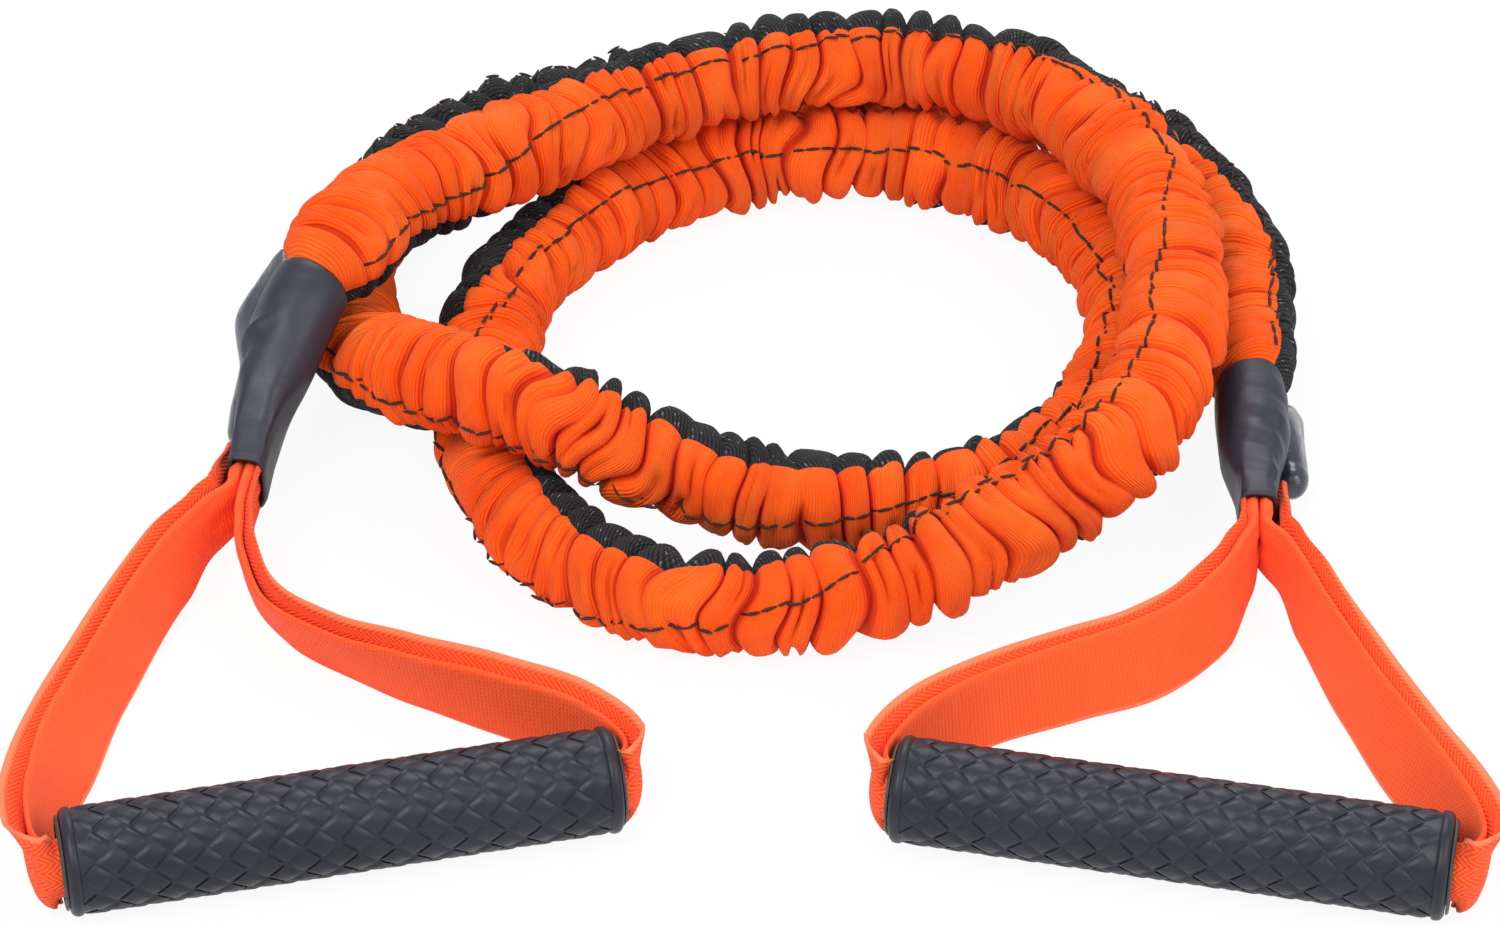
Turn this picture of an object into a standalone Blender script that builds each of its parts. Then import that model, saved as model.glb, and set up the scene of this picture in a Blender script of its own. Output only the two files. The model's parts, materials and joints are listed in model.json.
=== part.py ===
# Resistance tube with handles: an elastic tube in a gathered fabric sleeve, coiled two and a half
# turns on the floor, with a webbing handle and a turning grip at each end.
# Metres, +Z up, floor at Z = 0. The origin is on the floor, midway under the two handles.

import math

import bmesh
import bpy
from mathutils import Vector

# Floor clearance of the webbing, which stands on its edge
FLOOR_GAP = 0.0003
# Gap between solids that touch on the real object
TOUCH_GAP = 0.0003

# The coil. Its middle, then where the tube's centre passes: turned angle in degrees, clockwise from
# the left, distance from the middle, and height above the floor.
COIL_MIDDLE = Vector((-0.0004, 0.1109, 0.0))
COIL_STATIONS = [
    (14, 0.1050, 0.0498), (27, 0.0968, 0.0465), (40, 0.0920, 0.0445), (54, 0.0910, 0.0436),
    (68, 0.0950, 0.0434), (82, 0.1020, 0.0434), (97, 0.1125, 0.0434), (112, 0.1225, 0.0430),
    (130, 0.1280, 0.0430), (150, 0.1245, 0.0430), (172, 0.1185, 0.0430), (190, 0.1170, 0.0430),
    (207, 0.1200, 0.0415), (219, 0.1205, 0.0380), (231, 0.1155, 0.0305), (243, 0.1105, 0.0220),
    (256, 0.1080, 0.0160), (270, 0.1072, 0.0140), (284, 0.1055, 0.0140), (298, 0.0993, 0.0140),
    (314, 0.0897, 0.0140), (330, 0.0812, 0.0140), (348, 0.0750, 0.0140), (367, 0.0745, 0.0140),
    (388, 0.0775, 0.0140), (409, 0.0830, 0.0140), (430, 0.0930, 0.0140), (450, 0.1040, 0.0140),
    (470, 0.1140, 0.0140), (492, 0.1190, 0.0140), (512, 0.1175, 0.0140), (532, 0.1103, 0.0140),
    (551, 0.1010, 0.0140), (568, 0.0945, 0.0145), (584, 0.0880, 0.0155), (600, 0.0798, 0.0175),
    (617, 0.0732, 0.0200), (635, 0.0698, 0.0245), (652, 0.0708, 0.0315), (667, 0.0775, 0.0400),
    (683, 0.0885, 0.0436), (698, 0.0980, 0.0372), (711, 0.1045, 0.0268), (724, 0.1125, 0.0185),
    (737, 0.1215, 0.0147), (750, 0.1315, 0.0140), (764, 0.1385, 0.0140), (780, 0.1415, 0.0140),
    (797, 0.1425, 0.0140), (814, 0.1465, 0.0140), (830, 0.1555, 0.0140), (845, 0.1625, 0.0140),
    (859, 0.1595, 0.0140), (873, 0.1530, 0.0146), (886, 0.1450, 0.0165),
]
COIL_POINTS_PER_TURN = 20
COIL_SIDES = 8
END_RINGS = 5
END_RING_STEP = 0.0080

# Sleeve: gathered webbing tube round the elastic
SLEEVE_CREST_RADIUS = 0.0145
SLEEVE_VALLEY_RADIUS = 0.0122
SLEEVE_BORE_RADIUS = 0.0052
SLEEVE_TUCKED_RADIUS = 0.0083
SLEEVE_TUCK_LENGTH = 0.0140
SLEEVE_TAPER_LENGTH = 0.0060
SLEEVE_RIBS = 164

# Elastic tube
TUBE_RADIUS = 0.0048
TUBE_BORE_RADIUS = 0.0025
TUBE_END_DEPTH = 0.0340

# End covers, heat-shrunk over the sleeve's end and the webbing's neck. Each station: share of the
# cover's length, half width, half height and squareness (2 is an ellipse).
COVER_WALL = 0.0011
COVER_PROFILE = [
    (0.00, 0.0104, 0.0104, 2.0), (0.06, 0.0108, 0.0108, 2.0), (0.20, 0.0110, 0.0112, 2.0),
    (0.36, 0.0106, 0.0108, 2.0), (0.50, 0.0096, 0.0098, 2.2), (0.62, 0.0084, 0.0090, 2.6),
    (0.74, 0.0074, 0.0088, 3.2), (0.87, 0.0064, 0.0088, 3.8), (1.00, 0.0058, 0.0088, 4.0),
]
COVER_SIDES = 16
NECK_STEPS = 24

# Folded-back tail of the elastic, under its own small cover beside the main one
TAIL_COVER_WALL = 0.0008
TAIL_END_PINCH = 0.0010
TAIL_INSET = 0.0030
TAIL_END_SPACE = 0.0110
TAIL_STEPS = 4
TAIL_SIDES = 10
TAIL_SPACING = 0.0002

# Stopper in the tail's bore
STOPPER_HEAD_RADIUS = 0.0044
STOPPER_HEAD_LENGTH = 0.0022
STOPPER_STEM_LENGTH = 0.0120

# Crimped ring round the elastic, inside the cover
CLAMP_START = 0.0175
CLAMP_LENGTH = 0.0090
CLAMP_WALL = 0.0013

# Webbing
PLY_THICKNESS = 0.0016
PLY_GAP = 0.0005
WEBBING_WIDTH = 0.0250
NECK_WEBBING_WIDTH = 0.0130
STRAP_ROOT_START = 0.0400
STRAP_ROOT_WIDTH = 0.0110
ROOT_SPREAD = 0.8
STRAP_END_RADIUS = 0.0041
WIDTH_STEPS = 6
STRAP_STEPS = 2
CURL_LEAD = 0.0008
STRAP_CORNER_RISE = 0.0060
# Share of a corner's reach past the grip at which the webbing is half uncurled
CORNER_SHARE = 0.75
CORNER_CURL = 0.35

# Grip: rubber cover on a rigid pipe with a bush pressed in each end
GRIP_LENGTH = 0.1380
GRIP_RADIUS = 0.0136
BEAD_RADIUS = 0.0136
BEAD_LENGTH = 0.0032
GROOVE_DEPTH = 0.0007
GROOVE_LENGTH = 0.0012
COVER_RUBBER = 0.0022
CORE_WALL = 0.0013
BUSH_WALL = 0.0006
BUSH_LENGTH = 0.0100
BUSH_FLANGE_RADIUS = 0.0119
BUSH_FLANGE_LENGTH = 0.0008
BORE_GAP = 0.0005
GRIP_SIDES = 18

# The two ends. Points are measured from the coil's middle. A leg station: share of the straight line
# from neck to grip, bulge outwards from it, and outward lean of the webbing's top edge in degrees.
LEFT = {
    "side": "left",
    "rim": (-0.1178, -0.0092, 0.0500),
    "neck": (-0.1361, -0.0636, 0.0172),
    "rim_heading": (-0.46, -0.87, -0.18),
    "neck_heading": (-0.12, -0.95, -0.28),
    "tail": (-0.0010, 0.0380),
    "tail_turns": (-28.0, -62.0),
    "grip_middle": (-0.1010, -0.1928),
    "grip_turn": 13.2,
    "reach_a": 0.0085,
    "reach_b": 0.0080,
    "leg_a": [(0.10, 0.0050, 6), (0.22, 0.0080, 16), (0.51, 0.0092, 20), (0.72, 0.0080, 30),
              (0.88, 0.0050, 16)],
    "leg_b": [(0.09, -0.0105, -4), (0.17, -0.0190, -10), (0.30, -0.0250, -22), (0.43, -0.0222, -22),
              (0.57, -0.0158, -14), (0.73, -0.0065, -6), (0.88, 0.0005, 0)],
}
RIGHT = {
    "side": "right",
    "rim": (0.1382, -0.0215, 0.0217),
    "neck": (0.1350, -0.0800, 0.0172),
    "rim_heading": (0.0, -1.0, 0.0),
    "neck_heading": (-0.06, -1.0, -0.04),
    "tail": (-0.0005, 0.0310),
    "tail_turns": (238.0, 230.0),
    "grip_middle": (0.1040, -0.1953),
    "grip_turn": -12.25,
    "reach_a": 0.0080,
    "reach_b": 0.0085,
    "leg_a": [(0.11, -0.0075, 12), (0.24, -0.0133, 24), (0.40, -0.0122, 26), (0.55, -0.0060, 18),
              (0.73, 0.0012, 10), (0.89, 0.0035, 4)],
    "leg_b": [(0.10, 0.0020, 4), (0.23, 0.0012, 10), (0.47, -0.0004, 14), (0.69, -0.0004, 20),
              (0.87, 0.0010, 12)],
}

# Colours and finishes: base colour, roughness, metallic
MATERIALS = {
    "sleeve": ((1.0, 0.19, 0.01), 0.85, 0.0),
    "elastic": ((0.85, 0.60, 0.25), 0.45, 0.0),
    "cover": ((0.045, 0.05, 0.06), 0.45, 0.0),
    "tail_cover": ((0.16, 0.17, 0.19), 0.4, 0.0),
    "stopper": ((0.03, 0.03, 0.03), 0.5, 0.0),
    "clamp": ((0.6, 0.6, 0.62), 0.35, 1.0),
    "webbing": ((1.0, 0.17, 0.05), 0.8, 0.0),
    "grip": ((0.04, 0.045, 0.055), 0.6, 0.0),
    "core": ((0.1, 0.1, 0.11), 0.5, 0.0),
}

Z_UP = Vector((0.0, 0.0, 1.0))


def clear_scene():
    for obj in list(bpy.data.objects):
        bpy.data.objects.remove(obj, do_unlink=True)


def make_material(kind, node):
    colour, roughness, metallic = MATERIALS[kind]
    material = bpy.data.materials.new(node)
    material.use_nodes = True
    shader = material.node_tree.nodes["Principled BSDF"]
    shader.inputs["Base Color"].default_value = (*colour, 1.0)
    shader.inputs["Roughness"].default_value = roughness
    shader.inputs["Metallic"].default_value = metallic
    return material


def add_object(node, kind, mesh, parent=None, location=(0.0, 0.0, 0.0)):
    obj = bpy.data.objects.new(node, mesh)
    bpy.context.scene.collection.objects.link(obj)
    obj.data.materials.append(make_material(kind, node))
    obj.parent = parent
    obj.location = location
    return obj


def add_empty(name, location, turn=0.0, parent=None):
    empty = bpy.data.objects.new(name, None)
    bpy.context.scene.collection.objects.link(empty)
    empty.parent = parent
    empty.location = location
    empty.rotation_euler = (0.0, 0.0, math.radians(turn))
    return empty


def loft(name, rings, closed=False, smooth_angle=40.0):
    """Skin a row of rings with equal numbers of points. A closed loft joins the last ring to the first."""
    bm = bmesh.new()
    rows = [[bm.verts.new(point) for point in ring] for ring in rings]
    sides = len(rings[0])
    last = len(rows) if closed else len(rows) - 1
    for i in range(last):
        here = rows[i]
        there = rows[(i + 1) % len(rows)]
        for j in range(sides):
            k = (j + 1) % sides
            bm.faces.new((here[j], here[k], there[k], there[j]))
    if not closed:
        bm.faces.new(rows[0])
        bm.faces.new(rows[-1])
    bmesh.ops.recalc_face_normals(bm, faces=bm.faces)
    mesh = bpy.data.meshes.new(name)
    bm.to_mesh(mesh)
    bm.free()
    mesh.shade_smooth()
    mesh.set_sharp_from_angle(angle=math.radians(smooth_angle))
    return mesh


def smooth_line(points, steps):
    """Points on a smooth curve through the given ones, with equal steps in each span."""
    spans = [(after - before).length for before, after in zip(points, points[1:])]
    slopes = [(after - before) / span for before, after, span in zip(points, points[1:], spans)]
    headings = [slopes[0]]
    for i in range(1, len(slopes)):
        headings.append((slopes[i - 1] * spans[i] + slopes[i] * spans[i - 1]) / (spans[i - 1] + spans[i]))
    headings.append(slopes[-1])
    line = []
    for i, span in enumerate(spans):
        for step in range(steps):
            line.append(hermite(points[i], headings[i] * span, points[i + 1], headings[i + 1] * span, step / steps))
    line.append(points[-1].copy())
    return line


def hermite(start, leave, finish, arrive, u):
    """Point at share u of a cubic from start to finish with the given end tangents."""
    return (start * (2 * u ** 3 - 3 * u ** 2 + 1) + leave * (u ** 3 - 2 * u ** 2 + u)
            + finish * (3 * u ** 2 - 2 * u ** 3) + arrive * (u ** 3 - u ** 2))


def distances(line):
    total = [0.0]
    for a, b in zip(line, line[1:]):
        total.append(total[-1] + (b - a).length)
    return total


def point_at(line, lengths, distance):
    """The point and heading at a distance along a line, carried on straight past its ends."""
    if distance <= 0.0:
        heading = (line[1] - line[0]).normalized()
        return line[0] + heading * distance, heading
    if distance >= lengths[-1]:
        heading = (line[-1] - line[-2]).normalized()
        return line[-1] + heading * (distance - lengths[-1]), heading
    low = max(i for i, length in enumerate(lengths[:-1]) if length <= distance)
    share = (distance - lengths[low]) / (lengths[low + 1] - lengths[low])
    before = line[max(low - 1, 0)]
    after = line[min(low + 2, len(line) - 1)]
    start = line[low + 1] - before
    end = after - line[low]
    return line[low].lerp(line[low + 1], share), start.lerp(end, share).normalized()


def cross_axes(heading):
    """Level sideways axis and the axis square to it and to the heading."""
    side = heading.cross(Z_UP).normalized()
    return side, side.cross(heading).normalized()


def round_ring(centre, heading, radius, sides):
    """A ring with a flat at its lowest side."""
    side, rise = cross_axes(heading)
    ring = []
    for i in range(sides):
        angle = 2.0 * math.pi * (i + 0.5) / sides
        ring.append(centre + side * (radius * math.cos(angle)) + rise * (radius * math.sin(angle)))
    return ring


def coil_line():
    """Centre line of the coil from rim to rim, with a straight stretch at each rim."""
    ends = []
    for end in (LEFT, RIGHT):
        rim = COIL_MIDDLE + Vector(end["rim"])
        inward = Vector(end["rim_heading"]).normalized()
        ends.append([rim, rim - inward * SLEEVE_CREST_RADIUS])
    points = ends[0] + [station_point(station) for station in COIL_STATIONS] + ends[1][::-1]
    return smooth_line(points, 6)


def whole_line():
    """Centre line from one neck to the other, through both covers."""
    return neck_line(LEFT)[:0:-1] + coil_line() + neck_line(RIGHT)[1:]


def station_point(station):
    turned, radius, height = station
    angle = math.pi - math.radians(turned)
    return COIL_MIDDLE + Vector((radius * math.cos(angle), radius * math.sin(angle), height))


def neck_line(end):
    """Centre line of an end cover, from its rim to the neck's hinge axis."""
    rim = COIL_MIDDLE + Vector(end["rim"])
    neck = COIL_MIDDLE + Vector(end["neck"])
    reach = (neck - rim).length
    leave = Vector(end["rim_heading"]).normalized() * reach
    arrive = Vector(end["neck_heading"]).normalized() * reach
    return [hermite(rim, leave, neck, arrive, i / NECK_STEPS) for i in range(NECK_STEPS + 1)]


def sleeve_span(lengths):
    """Where the sleeve starts and ends along the whole line, tucked under both covers."""
    start = neck_length(LEFT) - SLEEVE_TUCK_LENGTH
    return start, lengths[-1] - neck_length(RIGHT) + SLEEVE_TUCK_LENGTH


def sleeve_radius(distance, span):
    """Crest radius along the sleeve: tapered just before each cover and plain inside it."""
    from_end = min(distance - span[0], span[1] - distance) - SLEEVE_TUCK_LENGTH
    share = min(max(from_end / SLEEVE_TAPER_LENGTH, 0.0), 1.0)
    return SLEEVE_TUCKED_RADIUS + (SLEEVE_CREST_RADIUS - SLEEVE_TUCKED_RADIUS) * share


def least_gap(line, lengths):
    """Least gap between stretches of the sleeve that lie more than two diameters apart along it."""
    span = sleeve_span(lengths)
    rows = [(length, sleeve_radius(length, span), point) for length, point in zip(lengths, line)]
    rows = [row for row in rows if span[0] < row[0] < span[1]]
    gap = 1.0
    for i, (here, radius, point) in enumerate(rows):
        for there, other_radius, other in rows[i + 1:]:
            if there - here > 4.0 * SLEEVE_CREST_RADIUS:
                gap = min(gap, (other - point).length - radius - other_radius)
    return gap


def cut_flat(mesh, height):
    """Cut a mesh off level at a height and close the cut."""
    bm = bmesh.new()
    bm.from_mesh(mesh)
    geometry = list(bm.verts) + list(bm.edges) + list(bm.faces)
    cut = bmesh.ops.bisect_plane(bm, geom=geometry, plane_co=(0.0, 0.0, height), plane_no=(0.0, 0.0, -1.0),
                                 dist=1e-7, clear_outer=True)
    edges = [item for item in cut["geom_cut"] if isinstance(item, bmesh.types.BMEdge)]
    bmesh.ops.holes_fill(bm, edges=edges, sides=0)
    bmesh.ops.recalc_face_normals(bm, faces=bm.faces)
    bm.to_mesh(mesh)
    bm.free()


def build_sleeve(line, lengths):
    span = sleeve_span(lengths)
    plain = SLEEVE_TUCK_LENGTH + SLEEVE_TAPER_LENGTH
    first = span[0] + plain
    pitch = (span[1] - span[0] - 2.0 * plain) / SLEEVE_RIBS
    outer = []

    def add_ring(distance, radius):
        point, heading = point_at(line, lengths, distance)
        outer.append(round_ring(point, heading, across_corners(radius), COIL_SIDES))

    add_ring(span[0], SLEEVE_TUCKED_RADIUS)
    add_ring(span[0] + SLEEVE_TUCK_LENGTH, SLEEVE_TUCKED_RADIUS)
    for rib in range(SLEEVE_RIBS):
        add_ring(first + (rib + 0.25) * pitch, SLEEVE_CREST_RADIUS)
        add_ring(first + (rib + 0.75) * pitch, SLEEVE_VALLEY_RADIUS)
    add_ring(span[1] - SLEEVE_TUCK_LENGTH, SLEEVE_TUCKED_RADIUS)
    add_ring(span[1], SLEEVE_TUCKED_RADIUS)
    places = [place for place in tube_places(lengths) if span[0] + TOUCH_GAP < place < span[1] - TOUCH_GAP]
    bore = tube_rings(line, lengths, [span[0], *places, span[1]], SLEEVE_BORE_RADIUS)
    mesh = loft("sleeve", outer + bore[::-1], closed=True, smooth_angle=70.0)
    cut_flat(mesh, 0.0)
    add_object("sleeve", "sleeve", mesh)


def across_corners(radius):
    """Corner radius of a coil ring whose flats lie at the given radius."""
    return radius / math.cos(math.pi / COIL_SIDES)


def elastic_span(lengths):
    """The elastic runs past the sleeve's ends, on into both covers."""
    past = TUBE_END_DEPTH - SLEEVE_TUCK_LENGTH
    start, finish = sleeve_span(lengths)
    return start - past, finish + past


def tube_places(lengths):
    """Where the elastic's rings lie: close together in the covers, then a set number to each turn."""
    start, finish = elastic_span(lengths)
    near = [END_RING_STEP * i for i in range(END_RINGS)]
    first = start + END_RING_STEP * END_RINGS
    last = finish - END_RING_STEP * END_RINGS
    steps = round(COIL_POINTS_PER_TURN * COIL_STATIONS[-1][0] / 360.0)
    places = [start + step for step in near]
    places += [first + (last - first) * i / steps for i in range(steps + 1)]
    places += [finish - step for step in reversed(near)]
    return places


def tube_rings(line, lengths, places, radius):
    rings = []
    for distance in places:
        point, heading = point_at(line, lengths, distance)
        rings.append(round_ring(point, heading, across_corners(radius), COIL_SIDES))
    return rings


def build_elastic(line, lengths):
    places = tube_places(lengths)
    rings = tube_rings(line, lengths, places, TUBE_RADIUS)
    bore = tube_rings(line, lengths, places, TUBE_BORE_RADIUS)
    mesh = loft("elastic_tube", rings + bore[::-1], closed=True, smooth_angle=70.0)
    add_object("elastic_tube", "elastic", mesh)


def squared_ring(centre, heading, half_width, half_height, squareness, sides):
    side, rise = cross_axes(heading)
    ring = []
    for i in range(sides):
        angle = 2.0 * math.pi * (i + 0.5) / sides
        across = math.copysign(abs(math.cos(angle)) ** (2.0 / squareness), math.cos(angle))
        up = math.copysign(abs(math.sin(angle)) ** (2.0 / squareness), math.sin(angle))
        ring.append(centre + side * (half_width * across) + rise * (half_height * up))
    return ring


def mouth_heading(heading, share):
    """The heading levelled towards the cover's mouth, so the mouth is upright like the hinge axis."""
    level = Vector((heading.x, heading.y, heading.z * (1.0 - share ** 2)))
    return level.normalized()


def neck_station(end, distance):
    """Point and ring heading along a cover. The last station is upright and just behind the hinge."""
    line = neck_line(end)
    lengths = distances(line)
    share = min(max(distance / mouth_distance(end), 0.0), 1.0)
    point, heading = point_at(line, lengths, distance)
    if share == 1.0:
        behind = COIL_MIDDLE + Vector(end["neck"]) - plan_forward(end) * (STRAP_END_RADIUS + TOUCH_GAP)
        return Vector((behind.x, behind.y, point.z)), plan_forward(end)
    return point, mouth_heading(heading, share)


def mouth_distance(end):
    """Where the cover's mouth lies along the neck line, just behind the strap's rounded end."""
    return neck_length(end) - STRAP_END_RADIUS - TOUCH_GAP


def plan_forward(end):
    """Level heading in which the strap leaves the neck."""
    return Vector((end["neck_heading"][0], end["neck_heading"][1], 0.0)).normalized()


def plan_across(end):
    forward = plan_forward(end)
    return Vector((forward.y, -forward.x, 0.0))


def neck_length(end):
    return distances(neck_line(end))[-1]


def build_cover(end):
    length = mouth_distance(end)
    outer = []
    inner = []
    for share, half_width, half_height, squareness in COVER_PROFILE:
        point, heading = neck_station(end, share * length)
        outer.append(squared_ring(point, heading, half_width, half_height, squareness, COVER_SIDES))
        inner.append(squared_ring(point, heading, half_width - COVER_WALL, half_height - COVER_WALL,
                                  squareness, COVER_SIDES))
    node = end["side"] + "_cover"
    add_object(node, "cover", loft(node, outer + inner[::-1], closed=True))


def build_clamp(end):
    outer = []
    inner = []
    for i in range(3):
        point, heading = neck_station(end, CLAMP_START + CLAMP_LENGTH * i / 2)
        inner_radius = (across_corners(TUBE_RADIUS) + TOUCH_GAP) / math.cos(math.pi / COVER_SIDES)
        inner.append(round_ring(point, heading, inner_radius, COVER_SIDES))
        outer.append(round_ring(point, heading, inner_radius + CLAMP_WALL, COVER_SIDES))
    node = end["side"] + "_clamp"
    add_object(node, "clamp", loft(node, outer + inner[::-1], closed=True))


def build_strap_root(end):
    """The webbing's sewn bundle inside the cover, which the hinged loop starts from."""
    length = mouth_distance(end)
    bundle = 4 * PLY_THICKNESS + 3 * TOUCH_GAP
    rings = []
    steps = 5
    for i in range(steps + 1):
        share = i / steps
        point, heading = neck_station(end, STRAP_ROOT_START + (length - STRAP_ROOT_START) * share)
        width = STRAP_ROOT_WIDTH + (NECK_WEBBING_WIDTH - STRAP_ROOT_WIDTH) * min(share / ROOT_SPREAD, 1.0)
        side, rise = cross_axes(heading)
        corners = ((1, 1), (-1, 1), (-1, -1), (1, -1))
        rings.append([point + side * (0.5 * bundle * x) + rise * (0.5 * width * z) for x, z in corners])
    node = end["side"] + "_strap_root"
    add_object(node, "webbing", loft(node, rings))


def tail_cover_radius():
    """Outer radius of the small cover, shrunk onto the elastic's tail."""
    return TUBE_RADIUS / math.cos(math.pi / TAIL_SIDES) + TOUCH_GAP + TAIL_COVER_WALL


def cover_reach(end, distance):
    """Half size of the main cover at a distance from its rim, whichever way is larger."""
    share = min(max(distance / mouth_distance(end), 0.0), 1.0)
    for low, high in zip(COVER_PROFILE, COVER_PROFILE[1:]):
        if low[0] <= share <= high[0]:
            part = (share - low[0]) / (high[0] - low[0])
            return max(low[1] + (high[1] - low[1]) * part, low[2] + (high[2] - low[2]) * part)
    return COVER_PROFILE[-1][2]


def tail_station(end, distance):
    """Centre line of the folded-back tail, which lies straight along the side of the main cover."""
    start, finish = end["tail"]
    turns = end["tail_turns"]
    places = [start + (finish - start) * i / TAIL_STEPS for i in range(TAIL_STEPS + 1)]
    reaches = [cover_reach(end, place) + tail_cover_radius() + TAIL_SPACING for place in places]
    points = []
    for i, place in enumerate(places):
        point, heading = neck_station(end, place)
        side, rise = cross_axes(heading)
        turn = math.radians(turns[0] + (turns[1] - turns[0]) * i / TAIL_STEPS)
        points.append((point, side * math.cos(turn) + rise * math.sin(turn)))
    ends = [points[0][0] + points[0][1] * reaches[0], points[-1][0] + points[-1][1] * reaches[-1]]
    shortfall = 0.0
    for i, (point, _) in enumerate(points):
        beside = ends[0].lerp(ends[1], i / TAIL_STEPS)
        shortfall = max(shortfall, reaches[i] - (beside - point).length)
    first = ends[0] + points[0][1] * shortfall
    last = ends[1] + points[-1][1] * shortfall
    heading = (last - first).normalized()
    return first + heading * (distance - start), heading


def build_tail(end):
    """Tail of the elastic, its stopper and its own small cover."""
    start, finish = end["tail"]
    radius = tail_cover_radius()
    cover_outer = []
    cover_inner = []
    tube_outer = []
    tube_inner = []
    for i in range(TAIL_STEPS + 1):
        share = i / TAIL_STEPS
        point, heading = tail_station(end, start + (finish - start) * share)
        pinched = radius - TAIL_END_PINCH * max(share * 3.0 - 2.0, 0.0)
        cover_outer.append(round_ring(point, heading, pinched, TAIL_SIDES))
        cover_inner.append(round_ring(point, heading, pinched - TAIL_COVER_WALL, TAIL_SIDES))
        length = finish - start - TAIL_END_SPACE
        point, heading = tail_station(end, start + TAIL_INSET + length * share)
        tube_outer.append(round_ring(point, heading, TUBE_RADIUS, TAIL_SIDES))
        tube_inner.append(round_ring(point, heading, TUBE_BORE_RADIUS, TAIL_SIDES))
    node = end["side"] + "_tail_cover"
    add_object(node, "tail_cover", loft(node, cover_outer + cover_inner[::-1], closed=True))
    node = end["side"] + "_tube_tail"
    add_object(node, "elastic", loft(node, tube_outer + tube_inner[::-1], closed=True))
    build_stopper(end, start + TAIL_INSET)


def build_stopper(end, seat):
    stations = ((seat - TOUCH_GAP - STOPPER_HEAD_LENGTH, STOPPER_HEAD_RADIUS - TOUCH_GAP),
                (seat - TOUCH_GAP, STOPPER_HEAD_RADIUS),
                (seat - TOUCH_GAP, TUBE_BORE_RADIUS - TOUCH_GAP),
                (seat - TOUCH_GAP + STOPPER_STEM_LENGTH, TUBE_BORE_RADIUS - 2.0 * TOUCH_GAP))
    rings = []
    for distance, radius in stations:
        point, heading = tail_station(end, distance)
        rings.append(round_ring(point, heading, radius, TAIL_SIDES))
    node = end["side"] + "_stopper"
    add_object(node, "stopper", loft(node, rings))


def turned(name, profile):
    """Turn a closed outline of (along, radius) points about X."""
    rings = []
    for along, radius in profile:
        ring = []
        for i in range(GRIP_SIDES):
            angle = 2.0 * math.pi * (i + 0.5) / GRIP_SIDES
            ring.append(Vector((along, radius * math.cos(angle), radius * math.sin(angle))))
        rings.append(ring)
    return loft(name, rings, closed=True)


def core_radius():
    return GRIP_RADIUS - COVER_RUBBER - TOUCH_GAP


def bush_bore():
    return core_radius() - CORE_WALL - TOUCH_GAP - BUSH_WALL


def mirrored(profile):
    """Complete an outline given for its +X half."""
    return profile + [(-along, radius) for along, radius in reversed(profile)]


def build_grip(end, axis):
    """Rubber cover, rigid core and two bushes, turned about the local X axis."""
    half = 0.5 * GRIP_LENGTH
    inner = GRIP_RADIUS - COVER_RUBBER
    node = end["side"] + "_grip_cover"
    outside = mirrored([
        (half, inner), (half, BUSH_FLANGE_RADIUS + TOUCH_GAP), (half, BEAD_RADIUS - 0.0012),
        (half - 0.0012, BEAD_RADIUS), (half - BEAD_LENGTH, BEAD_RADIUS),
        (half - BEAD_LENGTH - GROOVE_LENGTH * 0.3, GRIP_RADIUS - GROOVE_DEPTH),
        (half - BEAD_LENGTH - GROOVE_LENGTH, GRIP_RADIUS - GROOVE_DEPTH),
        (half - BEAD_LENGTH - GROOVE_LENGTH * 1.3, GRIP_RADIUS),
    ])
    add_object(node, "grip", turned(node, outside), parent=axis)
    node = end["side"] + "_grip_core"
    pipe = mirrored([(half - TOUCH_GAP, core_radius() - CORE_WALL), (half - TOUCH_GAP, core_radius())])
    add_object(node, "core", turned(node, pipe), parent=axis)
    for name, way in (("_bush_a", -1.0), ("_bush_b", 1.0)):
        outer = core_radius() - CORE_WALL - TOUCH_GAP
        bore = bush_bore()
        bush = [
            (way * (half + TOUCH_GAP + BUSH_FLANGE_LENGTH), bore + 0.0008),
            (way * (half + TOUCH_GAP + BUSH_FLANGE_LENGTH), BUSH_FLANGE_RADIUS - 0.0006),
            (way * (half + TOUCH_GAP + BUSH_FLANGE_LENGTH * 0.5), BUSH_FLANGE_RADIUS),
            (way * (half + TOUCH_GAP), BUSH_FLANGE_RADIUS),
            (way * (half + TOUCH_GAP), outer),
            (way * (half - BUSH_LENGTH), outer),
            (way * (half - BUSH_LENGTH), bore),
            (way * (half - TOUCH_GAP), bore),
        ]
        node = end["side"] + name
        add_object(node, "core", turned(node, bush), parent=axis)


def leg_points(neck, corner, stations, outward_sign):
    """Plan points and leans of a strap leg from the neck to the grip's corner."""
    along = (corner - neck)
    outward = Vector((along.y, -along.x)).normalized() * outward_sign
    points = []
    for share, bulge, lean in stations:
        points.append((neck + along * share + outward * bulge, lean))
    return points


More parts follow.
